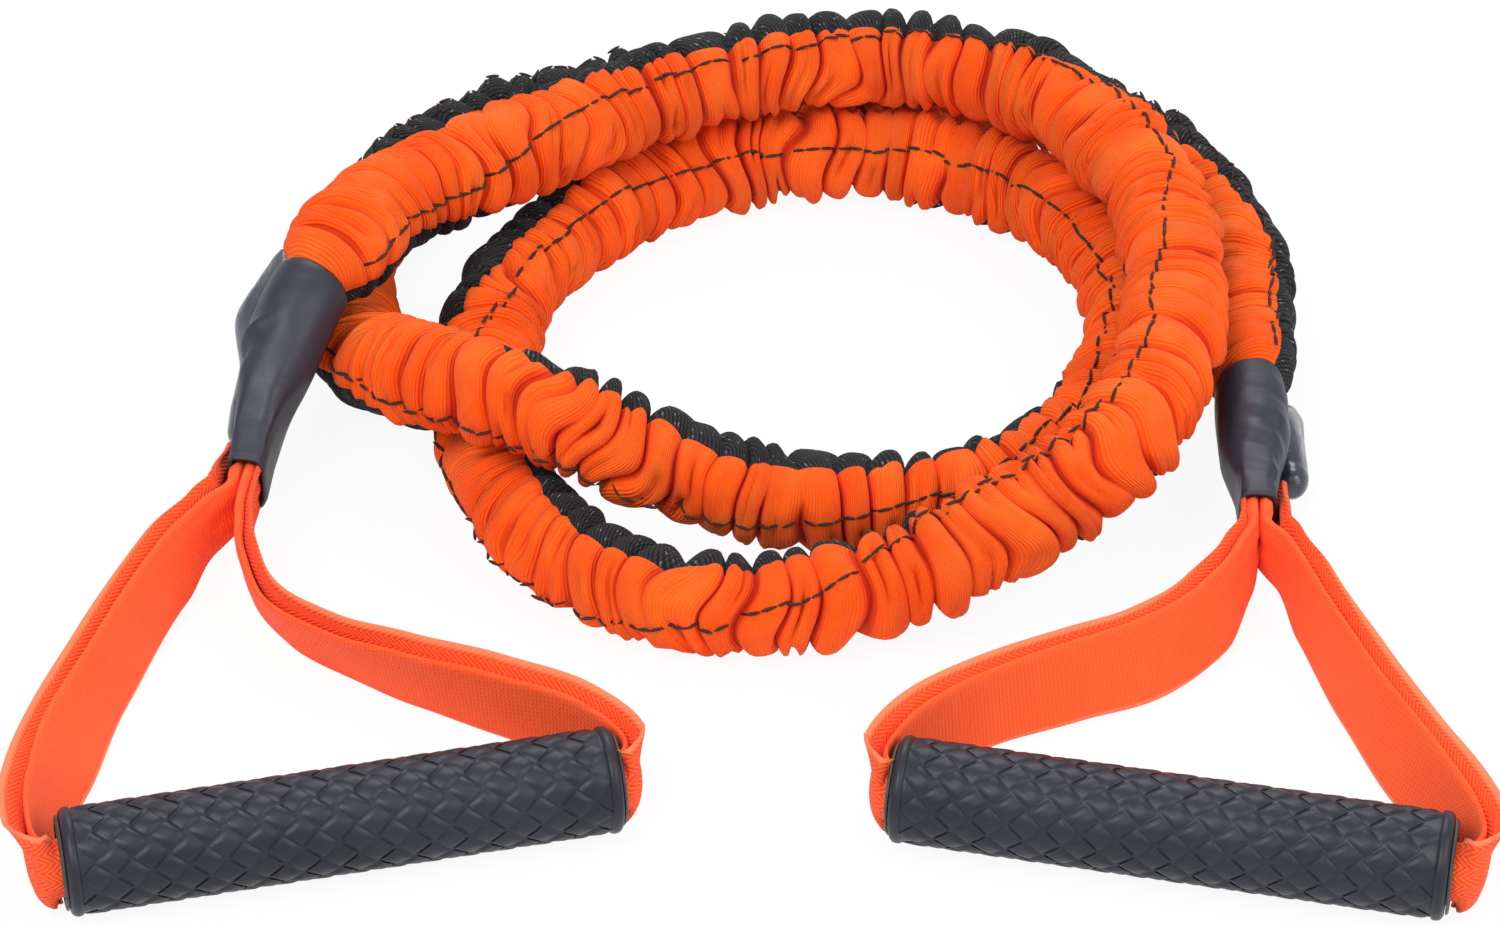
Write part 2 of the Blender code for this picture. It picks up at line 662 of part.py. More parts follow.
def strap_path(end):
    """Stations round the whole handle loop: plan point, height, lean, curl radius and width."""
    neck = COIL_MIDDLE + Vector(end["neck"])
    plan_neck = Vector((neck.x, neck.y))
    forward = plan_forward(end).to_2d()
    across = plan_across(end).to_2d()
    middle = Vector((COIL_MIDDLE.x + end["grip_middle"][0], COIL_MIDDLE.y + end["grip_middle"][1]))
    turn = math.radians(end["grip_turn"])
    axis = Vector((math.cos(turn), math.sin(turn)))
    outward = Vector((axis.y, -axis.x))
    pair = PLY_THICKNESS + 0.5 * PLY_GAP
    curl = bush_bore() - BORE_GAP - pair
    half = 0.5 * GRIP_LENGTH
    grip_height = BEAD_RADIUS
    corner_a = middle - axis * (half + end["reach_a"]) - outward * STRAP_CORNER_RISE
    corner_b = middle + axis * (half + end["reach_b"]) - outward * STRAP_CORNER_RISE
    lead = half + BUSH_FLANGE_LENGTH + TOUCH_GAP + CURL_LEAD
    offset = pair + 0.5 * TOUCH_GAP
    standing = 0.5 * WEBBING_WIDTH + FLOOR_GAP

    stations = []

    def add(point, height, lean=0.0, curled=0.0, width=WEBBING_WIDTH):
        stations.append((Vector((point.x, point.y, height)), math.radians(lean), curled, width))

    def height_at(share, lean):
        low = 0.5 * WEBBING_WIDTH * math.cos(math.radians(lean)) + PLY_THICKNESS * abs(math.sin(math.radians(lean)))
        settle = min(share / 0.4, 1.0)
        settle = settle * settle * (3.0 - 2.0 * settle)
        return neck.z + (low + 3.0 * FLOOR_GAP - neck.z) * settle

    def add_leg(corner, leg, sign, backwards):
        start = plan_neck + across * (offset * sign)
        outset = start + forward * (2.0 * STRAP_END_RADIUS)
        row = [(start, neck.z, 0.0, NECK_WEBBING_WIDTH), (outset, neck.z, 0.0, NECK_WEBBING_WIDTH)]
        for (point, lean), (share, _, _) in zip(leg_points(plan_neck, corner, end[leg], sign), end[leg]):
            row.append((point, height_at(share, lean), lean, WEBBING_WIDTH))
        if backwards:
            row.reverse()
        for point, height, lean, width in row:
            add(point, height, lean, 0.0, width)

    add_leg(corner_a, "leg_a", 1.0, False)
    add(corner_a, standing)
    add(middle - axis * (half + end["reach_a"] * CORNER_SHARE) + outward * curl * 0.8, grip_height, 0.0, CORNER_CURL)
    for along in (-lead, CURL_LEAD - half, half - CURL_LEAD, lead):
        add(middle + axis * along + outward * curl, grip_height, 0.0, 1.0)
    add(middle + axis * (half + end["reach_b"] * CORNER_SHARE) + outward * curl * 0.8, grip_height, 0.0, CORNER_CURL)
    add(corner_b, standing)
    add_leg(corner_b, "leg_b", -1.0, True)
    return stations, curl


def strap_rings(end, ply_offset):
    """Rings of one ply of a handle's webbing, round the whole loop. Curled rings stand square to the grip."""
    stations, curl = strap_path(end)
    turn = math.radians(end["grip_turn"])
    axis = Vector((math.cos(turn), math.sin(turn), 0.0))
    steps = STRAP_STEPS
    line = smooth_line([point for point, _, _, _ in stations], steps)
    rings = []
    for i, point in enumerate(line):
        low = min(i // steps, len(stations) - 2)
        share = i / steps - low
        share = share * share * (3.0 - 2.0 * share)
        before = line[max(i - 1, 0)]
        after = line[min(i + 1, len(line) - 1)]
        lean = stations[low][1] + (stations[low + 1][1] - stations[low][1]) * share
        curled = stations[low][2] + (stations[low + 1][2] - stations[low][2]) * share
        heading = Vector((after.x - before.x, after.y - before.y, 0.0)).normalized()
        square = curled ** 3
        heading = (heading * (1.0 - square) + axis * square).normalized()
        width = stations[low][3] + (stations[low + 1][3] - stations[low][3]) * share
        outward = Vector((heading.y, -heading.x, 0.0))
        up = Z_UP * math.cos(lean) + outward * math.sin(lean)
        normal = outward * math.cos(lean) - Z_UP * math.sin(lean)
        rings.append(ply_ring(point, normal, up, ply_offset, width, curled / curl))
    return rings


def ply_ring(point, normal, up, ply_offset, width, curvature):
    """Section of one ply: flat, or curled about a centre on the loop's inner side."""
    faces = []
    for skin in (0.5 * PLY_THICKNESS, -0.5 * PLY_THICKNESS):
        row = []
        for i in range(WIDTH_STEPS + 1):
            along = width * (i / WIDTH_STEPS - 0.5)
            depth = ply_offset + skin
            if curvature < 1.0:
                row.append(point + normal * depth + up * along)
                continue
            middle_radius = 1.0 / curvature + ply_offset
            angle = along / middle_radius
            radius = 1.0 / curvature + depth
            row.append(point - normal / curvature + (normal * math.cos(angle) + up * math.sin(angle)) * radius)
        faces.append(row)
    return faces[0] + faces[1][::-1]


def round_off_ends(end, rings):
    """Shape both ends of a ply to the round of the hinge axis."""
    forward = plan_forward(end)
    across = plan_across(end)
    neck = COIL_MIDDLE + Vector(end["neck"])
    for ring in (rings[0], rings[-1]):
        for point in ring:
            sideways = (point - neck).dot(across)
            back = math.sqrt(max(STRAP_END_RADIUS ** 2 - sideways ** 2, 0.0))
            ahead = (point - neck).dot(forward)
            point -= forward * (ahead + back)


def build_straps(end, hinge):
    ply_offset = 0.5 * (PLY_THICKNESS + PLY_GAP)
    for name, offset in (("_strap_inner", -ply_offset), ("_strap_outer", ply_offset)):
        rings = strap_rings(end, offset)
        round_off_ends(end, rings)
        local = [[point - hinge.location for point in ring] for ring in rings]
        node = end["side"] + name
        add_object(node, "webbing", loft(node, local), parent=hinge)


def build_end(end):
    build_cover(end)
    build_clamp(end)
    build_strap_root(end)
    build_tail(end)
    hinge = add_empty(end["side"] + "_neck_hinge", COIL_MIDDLE + Vector(end["neck"]))
    build_straps(end, hinge)
    middle = COIL_MIDDLE + Vector((*end["grip_middle"], BEAD_RADIUS))
    axis = add_empty(end["side"] + "_grip_axis", middle - hinge.location, end["grip_turn"], hinge)
    build_grip(end, axis)


def main():
    clear_scene()
    line = whole_line()
    lengths = distances(line)
    start, finish = sleeve_span(lengths)
    gap = least_gap(line, lengths)
    print(f"sleeve: {finish - start:.3f} m long, least gap to itself {gap * 1000:.2f} mm")
    build_sleeve(line, lengths)
    build_elastic(line, lengths)
    for end in (LEFT, RIGHT):
        build_end(end)
    bpy.context.view_layer.update()


main()
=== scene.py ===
# Looks of the resistance tube with handles: the gathered sleeve and its stitching, the webbing of
# the two handles, the shrunk covers, the moulded grips, and the studio they are seen in.
# Metres, +Z up, in the frame of the solid model. The floor is at Z = 0.

import json
import math

import bmesh
import bpy
import numpy as np
from mathutils import Matrix, Vector
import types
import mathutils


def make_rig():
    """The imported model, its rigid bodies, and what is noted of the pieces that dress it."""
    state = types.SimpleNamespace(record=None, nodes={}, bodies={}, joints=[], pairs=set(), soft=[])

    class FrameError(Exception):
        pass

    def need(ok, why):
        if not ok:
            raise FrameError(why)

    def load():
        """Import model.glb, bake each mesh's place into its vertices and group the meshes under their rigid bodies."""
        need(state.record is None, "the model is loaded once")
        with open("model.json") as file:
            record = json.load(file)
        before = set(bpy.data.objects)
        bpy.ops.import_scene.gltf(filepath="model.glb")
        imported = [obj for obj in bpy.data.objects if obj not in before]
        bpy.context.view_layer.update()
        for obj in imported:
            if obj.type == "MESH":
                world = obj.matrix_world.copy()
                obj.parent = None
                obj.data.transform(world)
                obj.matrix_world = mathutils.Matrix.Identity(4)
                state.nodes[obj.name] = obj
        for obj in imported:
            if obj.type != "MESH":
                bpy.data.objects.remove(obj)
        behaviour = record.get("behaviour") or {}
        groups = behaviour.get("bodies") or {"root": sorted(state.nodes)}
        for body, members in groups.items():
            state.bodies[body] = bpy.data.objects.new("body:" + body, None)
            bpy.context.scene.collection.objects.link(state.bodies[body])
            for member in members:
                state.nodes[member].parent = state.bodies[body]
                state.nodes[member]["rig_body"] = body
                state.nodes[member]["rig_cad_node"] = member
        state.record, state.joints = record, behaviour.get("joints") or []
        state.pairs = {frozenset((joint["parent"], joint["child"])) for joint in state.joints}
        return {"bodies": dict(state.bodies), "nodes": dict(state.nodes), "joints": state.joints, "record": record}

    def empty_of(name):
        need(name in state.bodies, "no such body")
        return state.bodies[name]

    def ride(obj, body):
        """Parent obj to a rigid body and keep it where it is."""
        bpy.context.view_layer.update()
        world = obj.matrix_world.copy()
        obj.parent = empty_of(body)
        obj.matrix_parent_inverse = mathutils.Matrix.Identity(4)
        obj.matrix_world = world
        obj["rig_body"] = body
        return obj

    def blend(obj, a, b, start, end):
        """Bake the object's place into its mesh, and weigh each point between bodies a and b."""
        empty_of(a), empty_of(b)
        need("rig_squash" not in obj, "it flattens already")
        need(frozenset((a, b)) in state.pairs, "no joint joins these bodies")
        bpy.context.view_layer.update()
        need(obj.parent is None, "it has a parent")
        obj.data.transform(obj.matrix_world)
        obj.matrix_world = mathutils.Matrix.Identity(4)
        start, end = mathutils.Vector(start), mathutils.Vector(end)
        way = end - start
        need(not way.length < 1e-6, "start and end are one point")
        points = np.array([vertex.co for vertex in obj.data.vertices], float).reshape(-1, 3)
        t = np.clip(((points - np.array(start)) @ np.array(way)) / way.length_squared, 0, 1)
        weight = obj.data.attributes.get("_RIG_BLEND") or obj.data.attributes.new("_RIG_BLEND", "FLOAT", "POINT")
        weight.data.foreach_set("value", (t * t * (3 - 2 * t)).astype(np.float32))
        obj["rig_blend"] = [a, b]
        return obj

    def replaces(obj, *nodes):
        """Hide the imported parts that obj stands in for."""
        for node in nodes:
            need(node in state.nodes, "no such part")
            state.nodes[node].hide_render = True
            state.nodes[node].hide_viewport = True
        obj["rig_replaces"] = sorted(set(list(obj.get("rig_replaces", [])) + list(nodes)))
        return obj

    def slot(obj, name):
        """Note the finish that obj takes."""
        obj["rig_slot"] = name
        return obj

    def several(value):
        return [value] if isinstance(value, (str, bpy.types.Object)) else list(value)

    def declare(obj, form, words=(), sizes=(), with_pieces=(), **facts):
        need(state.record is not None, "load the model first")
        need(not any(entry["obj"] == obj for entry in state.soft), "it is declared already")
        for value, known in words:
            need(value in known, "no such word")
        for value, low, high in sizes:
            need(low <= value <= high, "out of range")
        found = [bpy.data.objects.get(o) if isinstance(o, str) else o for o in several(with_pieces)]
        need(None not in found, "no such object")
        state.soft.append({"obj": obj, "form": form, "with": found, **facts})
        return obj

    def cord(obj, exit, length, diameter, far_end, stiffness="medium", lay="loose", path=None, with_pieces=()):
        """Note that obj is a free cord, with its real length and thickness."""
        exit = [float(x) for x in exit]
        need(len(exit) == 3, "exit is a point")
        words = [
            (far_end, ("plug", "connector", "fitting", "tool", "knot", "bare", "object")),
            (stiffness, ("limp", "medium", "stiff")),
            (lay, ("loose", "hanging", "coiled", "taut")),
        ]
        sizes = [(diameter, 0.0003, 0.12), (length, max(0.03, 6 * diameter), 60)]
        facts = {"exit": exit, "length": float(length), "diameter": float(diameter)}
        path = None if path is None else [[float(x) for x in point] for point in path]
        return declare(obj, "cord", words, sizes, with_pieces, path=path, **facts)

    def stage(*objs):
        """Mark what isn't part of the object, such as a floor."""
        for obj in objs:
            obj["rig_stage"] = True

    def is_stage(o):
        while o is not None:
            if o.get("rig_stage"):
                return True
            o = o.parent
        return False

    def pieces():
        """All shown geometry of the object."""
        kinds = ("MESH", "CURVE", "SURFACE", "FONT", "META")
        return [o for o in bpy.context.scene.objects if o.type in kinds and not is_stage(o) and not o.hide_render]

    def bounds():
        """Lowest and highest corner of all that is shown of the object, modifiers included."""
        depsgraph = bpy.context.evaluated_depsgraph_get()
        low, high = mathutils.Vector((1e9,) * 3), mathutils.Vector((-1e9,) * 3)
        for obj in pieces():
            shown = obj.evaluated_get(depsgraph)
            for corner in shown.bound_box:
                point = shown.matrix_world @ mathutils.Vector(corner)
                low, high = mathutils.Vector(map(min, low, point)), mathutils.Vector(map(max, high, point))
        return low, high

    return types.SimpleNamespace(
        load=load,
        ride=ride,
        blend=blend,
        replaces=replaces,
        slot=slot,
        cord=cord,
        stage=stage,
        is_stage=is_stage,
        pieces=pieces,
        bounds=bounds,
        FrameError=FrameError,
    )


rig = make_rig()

bl_info = {
    "name": "Resistance Tube Looks",
    "version": (1, 0, 0),
    "blender": (4, 5, 0),
    "location": "3D View > Sidebar > Tube",
    "description": "Dresses the solid frame of a coiled resistance tube in its fabric, covers and grips",
    "category": "Object",
}

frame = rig.load()
CAD_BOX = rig.bounds()
CAD_NODES = dict(frame["nodes"])
SIZE_FILE = "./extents.json"
Z_UP = np.array([0.0, 0.0, 1.0])
# How far to each side of a point a line's heading is measured
HEADING_REACH = 0.002

# The route, as in the part's source. A coil station: turned angle in degrees, clockwise from the
# left, distance from the coil's middle, and height.
COIL_MIDDLE = Vector((-0.0004, 0.1109, 0.0))
COIL_STATIONS = [
    (14, 0.1050, 0.0498), (27, 0.0968, 0.0465), (40, 0.0920, 0.0445), (54, 0.0910, 0.0436),
    (68, 0.0950, 0.0434), (82, 0.1020, 0.0434), (97, 0.1125, 0.0434), (112, 0.1225, 0.0430),
    (130, 0.1280, 0.0430), (150, 0.1245, 0.0430), (172, 0.1185, 0.0430), (190, 0.1170, 0.0430),
    (207, 0.1200, 0.0415), (219, 0.1205, 0.0380), (231, 0.1155, 0.0305), (243, 0.1105, 0.0220),
    (256, 0.1080, 0.0160), (270, 0.1072, 0.0140), (284, 0.1055, 0.0140), (298, 0.0993, 0.0140),
    (314, 0.0897, 0.0140), (330, 0.0812, 0.0140), (348, 0.0750, 0.0140), (367, 0.0745, 0.0140),
    (388, 0.0775, 0.0140), (409, 0.0830, 0.0140), (430, 0.0930, 0.0140), (450, 0.1040, 0.0140),
    (470, 0.1140, 0.0140), (492, 0.1190, 0.0140), (512, 0.1175, 0.0140), (532, 0.1103, 0.0140),
    (551, 0.1010, 0.0140), (568, 0.0945, 0.0145), (584, 0.0880, 0.0155), (600, 0.0798, 0.0175),
    (617, 0.0732, 0.0200), (635, 0.0698, 0.0245), (652, 0.0708, 0.0315), (667, 0.0775, 0.0400),
    (683, 0.0885, 0.0436), (698, 0.0980, 0.0372), (711, 0.1045, 0.0268), (724, 0.1125, 0.0185),
    (737, 0.1215, 0.0147), (750, 0.1315, 0.0140), (764, 0.1385, 0.0140), (780, 0.1415, 0.0140),
    (797, 0.1425, 0.0140), (814, 0.1465, 0.0140), (830, 0.1555, 0.0140), (845, 0.1625, 0.0140),
    (859, 0.1595, 0.0140), (873, 0.1530, 0.0146), (886, 0.1450, 0.0165),
]
COIL_STEPS = 12
NECK_STEPS = 24

# Sleeve sizes shared with the solids
SLEEVE_CREST_RADIUS = 0.0145
SLEEVE_TUCKED_RADIUS = 0.0083
SLEEVE_TUCK_LENGTH = 0.0140
SLEEVE_LENGTH = 1.816

# Which way the sleeve's two sides and its stitch row face: turned angle in degrees, then the roll from
# the coil's inner side, through the top, of the black half's middle and of the stitch row
BLACK_ROLLS = [
    (0, 265), (16, 262), (40, 225), (55, 195), (75, 165), (90, 158), (115, 158), (130, 170), (140, 190),
    (150, 215), (165, 250), (180, 268), (200, 285), (225, 312), (247, 335), (270, 365), (290, 380),
    (315, 350), (338, 290), (360, 225), (382, 180), (405, 171), (430, 195), (450, 215), (495, 225),
    (540, 268), (562, 330), (585, 345), (600, 365), (630, 384), (660, 370), (690, 320), (700, 290),
    (715, 262), (727, 215), (735, 180), (745, 168), (790, 152), (840, 157), (870, 185), (890, 215),
]
STITCH_ROLLS = [
    (0, 20), (30, 12), (43, 48), (65, 55), (97, 50), (125, 75), (146, 100), (159, 112), (172, 76),
    (190, 66), (208, 72), (225, 80), (246, 92), (262, 140), (277, 176), (294, 208), (314, 205),
    (340, 150), (360, 80), (379, 62), (409, 50), (452, 37), (500, 40), (540, 60), (581, 110),
    (610, 160), (633, 195), (675, 200), (693, 190), (715, 150), (738, 120), (890, 120),
]
# Half of the black side's arc round the sleeve, in degrees
BLACK_HALF_ANGLE = 84.0
# How much sooner the sleeve's left end puffs out over its cover's rim, and how fast both ends open
LEFT_PUFF = 0.0030
OPENING_LENGTH = 0.0075
# Widths of the groove between the two colours, of the step down to the black side and of the colours' edge
SEAM_WIDTH = 0.0011
STEP_WIDTH = 0.0010
EDGE_WIDTH = 0.0004

# Slow waves that crowd and bend the pleats: share of a pleat, waves round the tube, wave length along
# it, start. They set in over a length at each end.
PLEAT_WAVES = [(0.17, 0, 0.041, 2.2), (0.09, 0, 0.023, 0.7), (0.24, 1, 0.110, 0.4), (0.13, 2, 0.050, 1.9),
               (0.09, 3, 0.083, 3.1)]
WAVE_START_LENGTH = 0.03
# Where the mesh's rings lie within a pleat
PLEAT_RINGS = [0.0, 0.06, 0.15, 0.26, 0.38, 0.50, 0.62, 0.74, 0.85, 0.94]
# Rounds and step of the search for the place at which a number of pleats is passed
SEARCH_ROUNDS = 40
SEARCH_STEP = 0.7
# A pleat's profile: how flat its top is, how full its shoulders are, its least depth as a share, and how
# much darker than its depth a crease's painted shade is
TOP_FLATNESS = 2.8
SHOULDER_FULLNESS = 0.85
LEAST_DEPTH = 0.08
CREASE_SHADE = 1.2
# Hollows pressed into the pleats: where their rows lie round the sleeve in degrees, half width and its
# taper as shares of a pleat, and sharpness
HOLLOW_ARCS = [(92, 140), (145, 215), (220, 268)]
HOLLOW_WIDTH = 0.22
HOLLOW_TAPER = 0.07
HOLLOW_SHARPNESS = 1.4
# Ripples along the crests: waves round the tube, share of the height, drift within a pleat
RIPPLES = [(3.0, 1.0, 2.0), (7.0, 0.6, -3.0)]
# Points used to smooth the rolls along the sleeve, and how many of them are averaged
ROLL_POINTS = 2400
ROLL_SMOOTHING = 31
# Points of the route that is handed on as the sleeve's centre line
ROUTE_POINTS = 160

# The stitch row: room at the sleeve's ends, points on its path, height above the cloth, how far it
# sinks in a crease and at what depth of crease it starts to, and where in a pleat it steps aside
STITCH_ROOM = 0.006
STITCH_POINTS = 9000
STITCH_LIFT = 0.0002
STITCH_SINK = 0.0030
SINK_START = 0.50
SINK_SPAN = 0.25
SIDESTEP_START = 0.85

# End covers: share of the cover's length, half width, half height and squareness
COVER_PROFILE = [
    (0.00, 0.0104, 0.0104, 2.0), (0.06, 0.0108, 0.0108, 2.0), (0.20, 0.0110, 0.0112, 2.0),
    (0.36, 0.0106, 0.0108, 2.0), (0.50, 0.0096, 0.0098, 2.2), (0.62, 0.0084, 0.0090, 2.6),
    (0.74, 0.0074, 0.0088, 3.2), (0.87, 0.0064, 0.0088, 3.8), (1.00, 0.0058, 0.0088, 4.0),
]
# How the covers' outer and inner sides stand off the even profile: share, outer, inner
COVER_SIDES = {
    "left": [(0.00, 0.0, 0.0), (0.45, 0.0, 0.0008), (0.55, -0.0008, 0.0004), (0.70, -0.0013, -0.0008),
             (0.85, -0.0013, -0.0008), (1.00, -0.0012, 0.0)],
    "right": [(0.00, -0.0024, -0.0003), (0.20, -0.0019, 0.0), (0.37, -0.0012, 0.0003),
              (0.54, -0.0012, 0.0009), (0.62, -0.0018, 0.0012), (0.70, -0.0020, 0.0002),
              (0.80, -0.0014, -0.0013), (0.90, -0.0008, -0.0012), (1.00, -0.0004, -0.0006)],
}
# Folds in a cover: share of its length, slant, turn round it in degrees, reach round it, width, height
COVER_FOLDS = {
    "left": [
        (0.50, -0.08, 15, 0.8, 0.050, -0.0018), (0.41, -0.12, 35, 0.8, 0.035, 0.0014),
        (0.30, 0.10, 60, 0.8, 0.070, -0.0007), (0.62, 0.10, 70, 0.7, 0.060, 0.0004),
        (0.20, -0.05, 90, 1.2, 0.060, 0.0004), (0.80, 0.05, 100, 0.7, 0.060, -0.0003),
    ],
    "right": [
        (0.16, 0.02, 110, 1.1, 0.030, 0.0003), (0.27, 0.03, 120, 1.2, 0.035, -0.0006),
        (0.40, 0.05, 120, 1.0, 0.040, 0.0005), (0.50, 0.06, 130, 0.9, 0.028, -0.0005),
        (0.60, 0.08, 140, 0.9, 0.030, 0.0005), (0.69, 0.08, 130, 0.9, 0.026, -0.0005),
        (0.78, 0.08, 120, 0.8, 0.030, 0.0004), (0.87, 0.06, 120, 0.9, 0.028, -0.0003),
    ],
}
TAIL_FOLDS = [
    (0.10, 0.08, 60, 1.2, 0.06, -0.0004), (0.45, -0.10, 80, 1.1, 0.06, 0.0004),
    (0.62, 0.10, 120, 1.1, 0.05, -0.0005), (0.85, -0.08, 100, 1.2, 0.06, 0.0003),
]
# Where each visible cover starts and ends, as shares of the cover's length
COVER_SPANS = {"left": (0.045, 1.035), "right": (0.0, 1.0)}
# Turned-in edges: share of the cover's length that turns in, and how far
COVER_RIM = (0.03, 0.0007)
COVER_LIP = (0.025, 0.0004)
# Fine waves of a cover's skin: height, waves round it, and their drift along it
SKIN_WAVE_HEIGHT = 0.00008
SKIN_WAVES = 9.0
SKIN_WAVE_DRIFT = 14.0
# How soon along a cover they reach their full height
SKIN_WAVE_START = 3.0
COVER_RINGS = 90
COVER_POINTS = 56
# Length and radius by which the lengths of cloth on a cover's and a tail cover's skin are measured
COVER_CLOTH = (0.06, 0.01)
TAIL_CLOTH = (0.03, 0.007)
# Weights with which a cover's profile is smoothed along it
COVER_SMOOTHING = np.hanning(11)[1:-1]
# Tail covers: share of the solid tail cover's length, radius, and extra bulge on the outer side
TAIL_LOBES = {
    "left": [(-0.22, 0.0012, 0.0), (-0.16, 0.0026, 0.0), (-0.08, 0.0038, 0.0), (0.00, 0.0050, 0.0002),
             (0.12, 0.0058, 0.0014), (0.25, 0.0060, 0.0034), (0.34, 0.0060, 0.0042), (0.45, 0.0058, 0.0034),
             (0.60, 0.0056, 0.0012), (0.68, 0.0054, 0.0004), (0.80, 0.0055, 0.0006), (1.00, 0.0055, 0.0008),
             (1.18, 0.0052, 0.0008), (1.22, 0.0046, 0.0006), (1.24, 0.0030, 0.0003)],
    "right": [(-0.30, 0.0012, 0.0), (-0.25, 0.0034, 0.0), (-0.16, 0.0050, 0.0), (-0.04, 0.0058, 0.0002),
              (0.08, 0.0057, 0.0), (0.30, 0.0053, 0.0), (0.60, 0.0052, 0.0), (0.75, 0.0051, 0.0),
              (0.82, 0.0046, 0.0), (0.88, 0.0036, 0.0), (0.91, 0.0022, 0.0)],
}
TAIL_RINGS = 70
TAIL_POINTS = 40
TAIL_SMOOTHING = np.ones(9)
# How sharply a tail cover's bulge and the part drawn out to the end cover fall off round it
LOBE_FOCUS = 1.5
# Place along a tail cover from which it is drawn out most, and how fast that falls off
DRAWN_MIDDLE = 0.3
DRAWN_FALL = 0.7
# Points at which an end cover's middle is measured for it
COVER_LINE_POINTS = 60
DEEPEST_TAIL_FOLD = 0.0001
STRAP_END_RADIUS = 0.0041
TOUCH_GAP = 0.0003

# Webbing
PLY_THICKNESS = 0.0016
PLY_GAP = 0.0005
WEBBING_WIDTH = 0.0250
FLOOR_GAP = 0.0003
CURL_LEAD = 0.0008
STRAP_CORNER_RISE = 0.0060
# At a corner beside a grip: share of the reach, of the curl's radius and of the curl
CORNER_SHARE = 0.75
CORNER_OUT = 0.8
CORNER_CURL = 0.35
# Stations of the webbing's path before a leg's own ones, and from one grip end's turn to the other's
LEG_ROOT_STATIONS = 3
TURN_STATIONS = 7
# Stations to each side of a grip end's turn over which the lower edge is drawn in
TUCK_STATIONS = 3.0
# The neck: length inside the cover, lean, widths at its three stations, and how bunched it is there. The
# bunching fades along a leg.
ROOT_LENGTH = 0.0180
NECK_LEAN = 4.0
ROOT_WIDTHS = (0.0070, 0.0165, 0.0180)
ROOT_SHARES = (1.0, 0.8, 0.5)
LEG_BUNCHING = 0.7
BUNCHING_FADE = 2.6
# Share of a leg over which it sinks from the neck to the floor
SETTLE_SHARE = 0.4
# How the webbing widens from the neck: shares of a leg, and shares of the full width there
NECK_SHARES = (0.08, 0.22, 0.40)
NECK_WIDTHS = (0.78, 0.93, 1.00)
# Squareness of the webbing's edges and least thickness there, as a share squared
EDGE_SQUARENESS = 14
EDGE_THICKNESS = 0.02
# Waves across the webbing where it is gathered at the neck
GATHER_WAVES = 2.5
# Power of the curl with which the webbing turns square to the grip, and the curl from which it is bent
SQUARING = 3
CURL_START = 0.001
LEAST_CURL = 0.0001
# Share of the outer ply's lift that the inner ply shares
INNER_LIFT = 0.12
# Unevenness of the turned edge: share of its angle, and waves along the webbing in radians a metre
FLARE_WAVE = 0.2
FLARE_WAVES = 55.0

# Grip
GRIP_LENGTH = 0.1380
GRIP_RADIUS = 0.0136
GRIP_BORE = 0.0114
BORE_BEVEL = 0.0005
BORE_BEVEL_LENGTH = 0.0006
BEAD_RADIUS = 0.0136
BEAD_LENGTH = 0.0032
# Outline of a bead: distance in from the grip's end, and drop below its crest
BEAD_OUTLINE = [
    (0.0, 0.0014), (0.0003, 0.0008), (0.0009, 0.0002), (0.0017, 0.0),
    (BEAD_LENGTH - 0.0009, 0.0), (BEAD_LENGTH - 0.0003, 0.0002), (BEAD_LENGTH, 0.0007),
]
GROOVE_DEPTH = 0.0007
GROOVE_LENGTH = 0.0007
GROOVE_SLOPE = 0.0004
# Where a grip's last ring before its middle lies
MIDDLE_RING = 0.02
GRIP_POINTS = 96
SHARP_ANGLE = 50.0
BUSH_FLANGE_LENGTH = 0.0008
STRAP_CURL = 0.00655
# Weave: room beside the grooves, faces along a tile's side, share of its place that a tile fills, share of
# its half width that slopes, how much lower its ends are, and how deep it is sunk, in shares of the relief
WEAVE_GROOVE_SHARE = 1.3
WEAVE_ROOM = 0.001
TILE_STEPS = 6
TILE_FILL = 0.955
TILE_SLOPE = 0.34
TILE_SAG = 0.50
TILE_SUNK = 0.15

# Weaves of the cloth. Pitches are lengths, slopes are lengths along for each length across.
SLEEVE_TWILL_PITCH = 0.0016
SLEEVE_TWILL_SLOPE = 0.6
CHEVRON_WIDTH = 0.0024
CHEVRON_SHIFT = 0.1
CHEVRON_SLOPE = 1.5
CHEVRON_PITCH = 0.0017
CHEVRON_ROW_PITCH = 0.0012
CORD_PITCH = 0.00115
WEBBING_TWILL_PITCH = 0.0010
WEBBING_TWILL_SLOPE = 0.7
SELVEDGE_START = 0.0108
SELVEDGE_END = 0.0119
# How much longer the sleeve's cloth is than the sleeve, because it is gathered
CLOTH_FULLNESS = 1.5
# Plastics: how uneven the rubber's gloss is, and how dark and light moulded plastic is beside its colour
RUBBER_UNEVENNESS = 0.06
PLASTIC_SHADES = (0.8, 1.2)

# Studio: the camera's target before the coil's middle, its frame's width in mm, and the nearest thing it sees
TARGET_SET_BACK = 0.054
TARGET_HEIGHT = 0.020
FRAME_WIDTH = 36.0
NEAREST_SEEN = 0.05
# Lamps: place and power
LAMP_SIZE = 0.9
LAMPS = [
    ("key_lamp", (-0.55, -0.75, 1.35), 15.0),
    ("fill_lamp", (0.95, -0.55, 0.95), 8.0),
    ("back_lamp", (0.1, 1.15, 1.2), 9.0),
]
WORLD_COLOUR = (0.97, 0.98, 1.0, 1.0)
WORLD_LIGHT = 0.62
WHITE = (1.0, 1.0, 1.0, 1.0)
# Floor: half its width, how much lighter its patches are, and how white the camera and reflections see it
FLOOR_SIZE = 6.0
FLOOR_PATCHES = 0.02
FLOOR_GLOW = 0.92

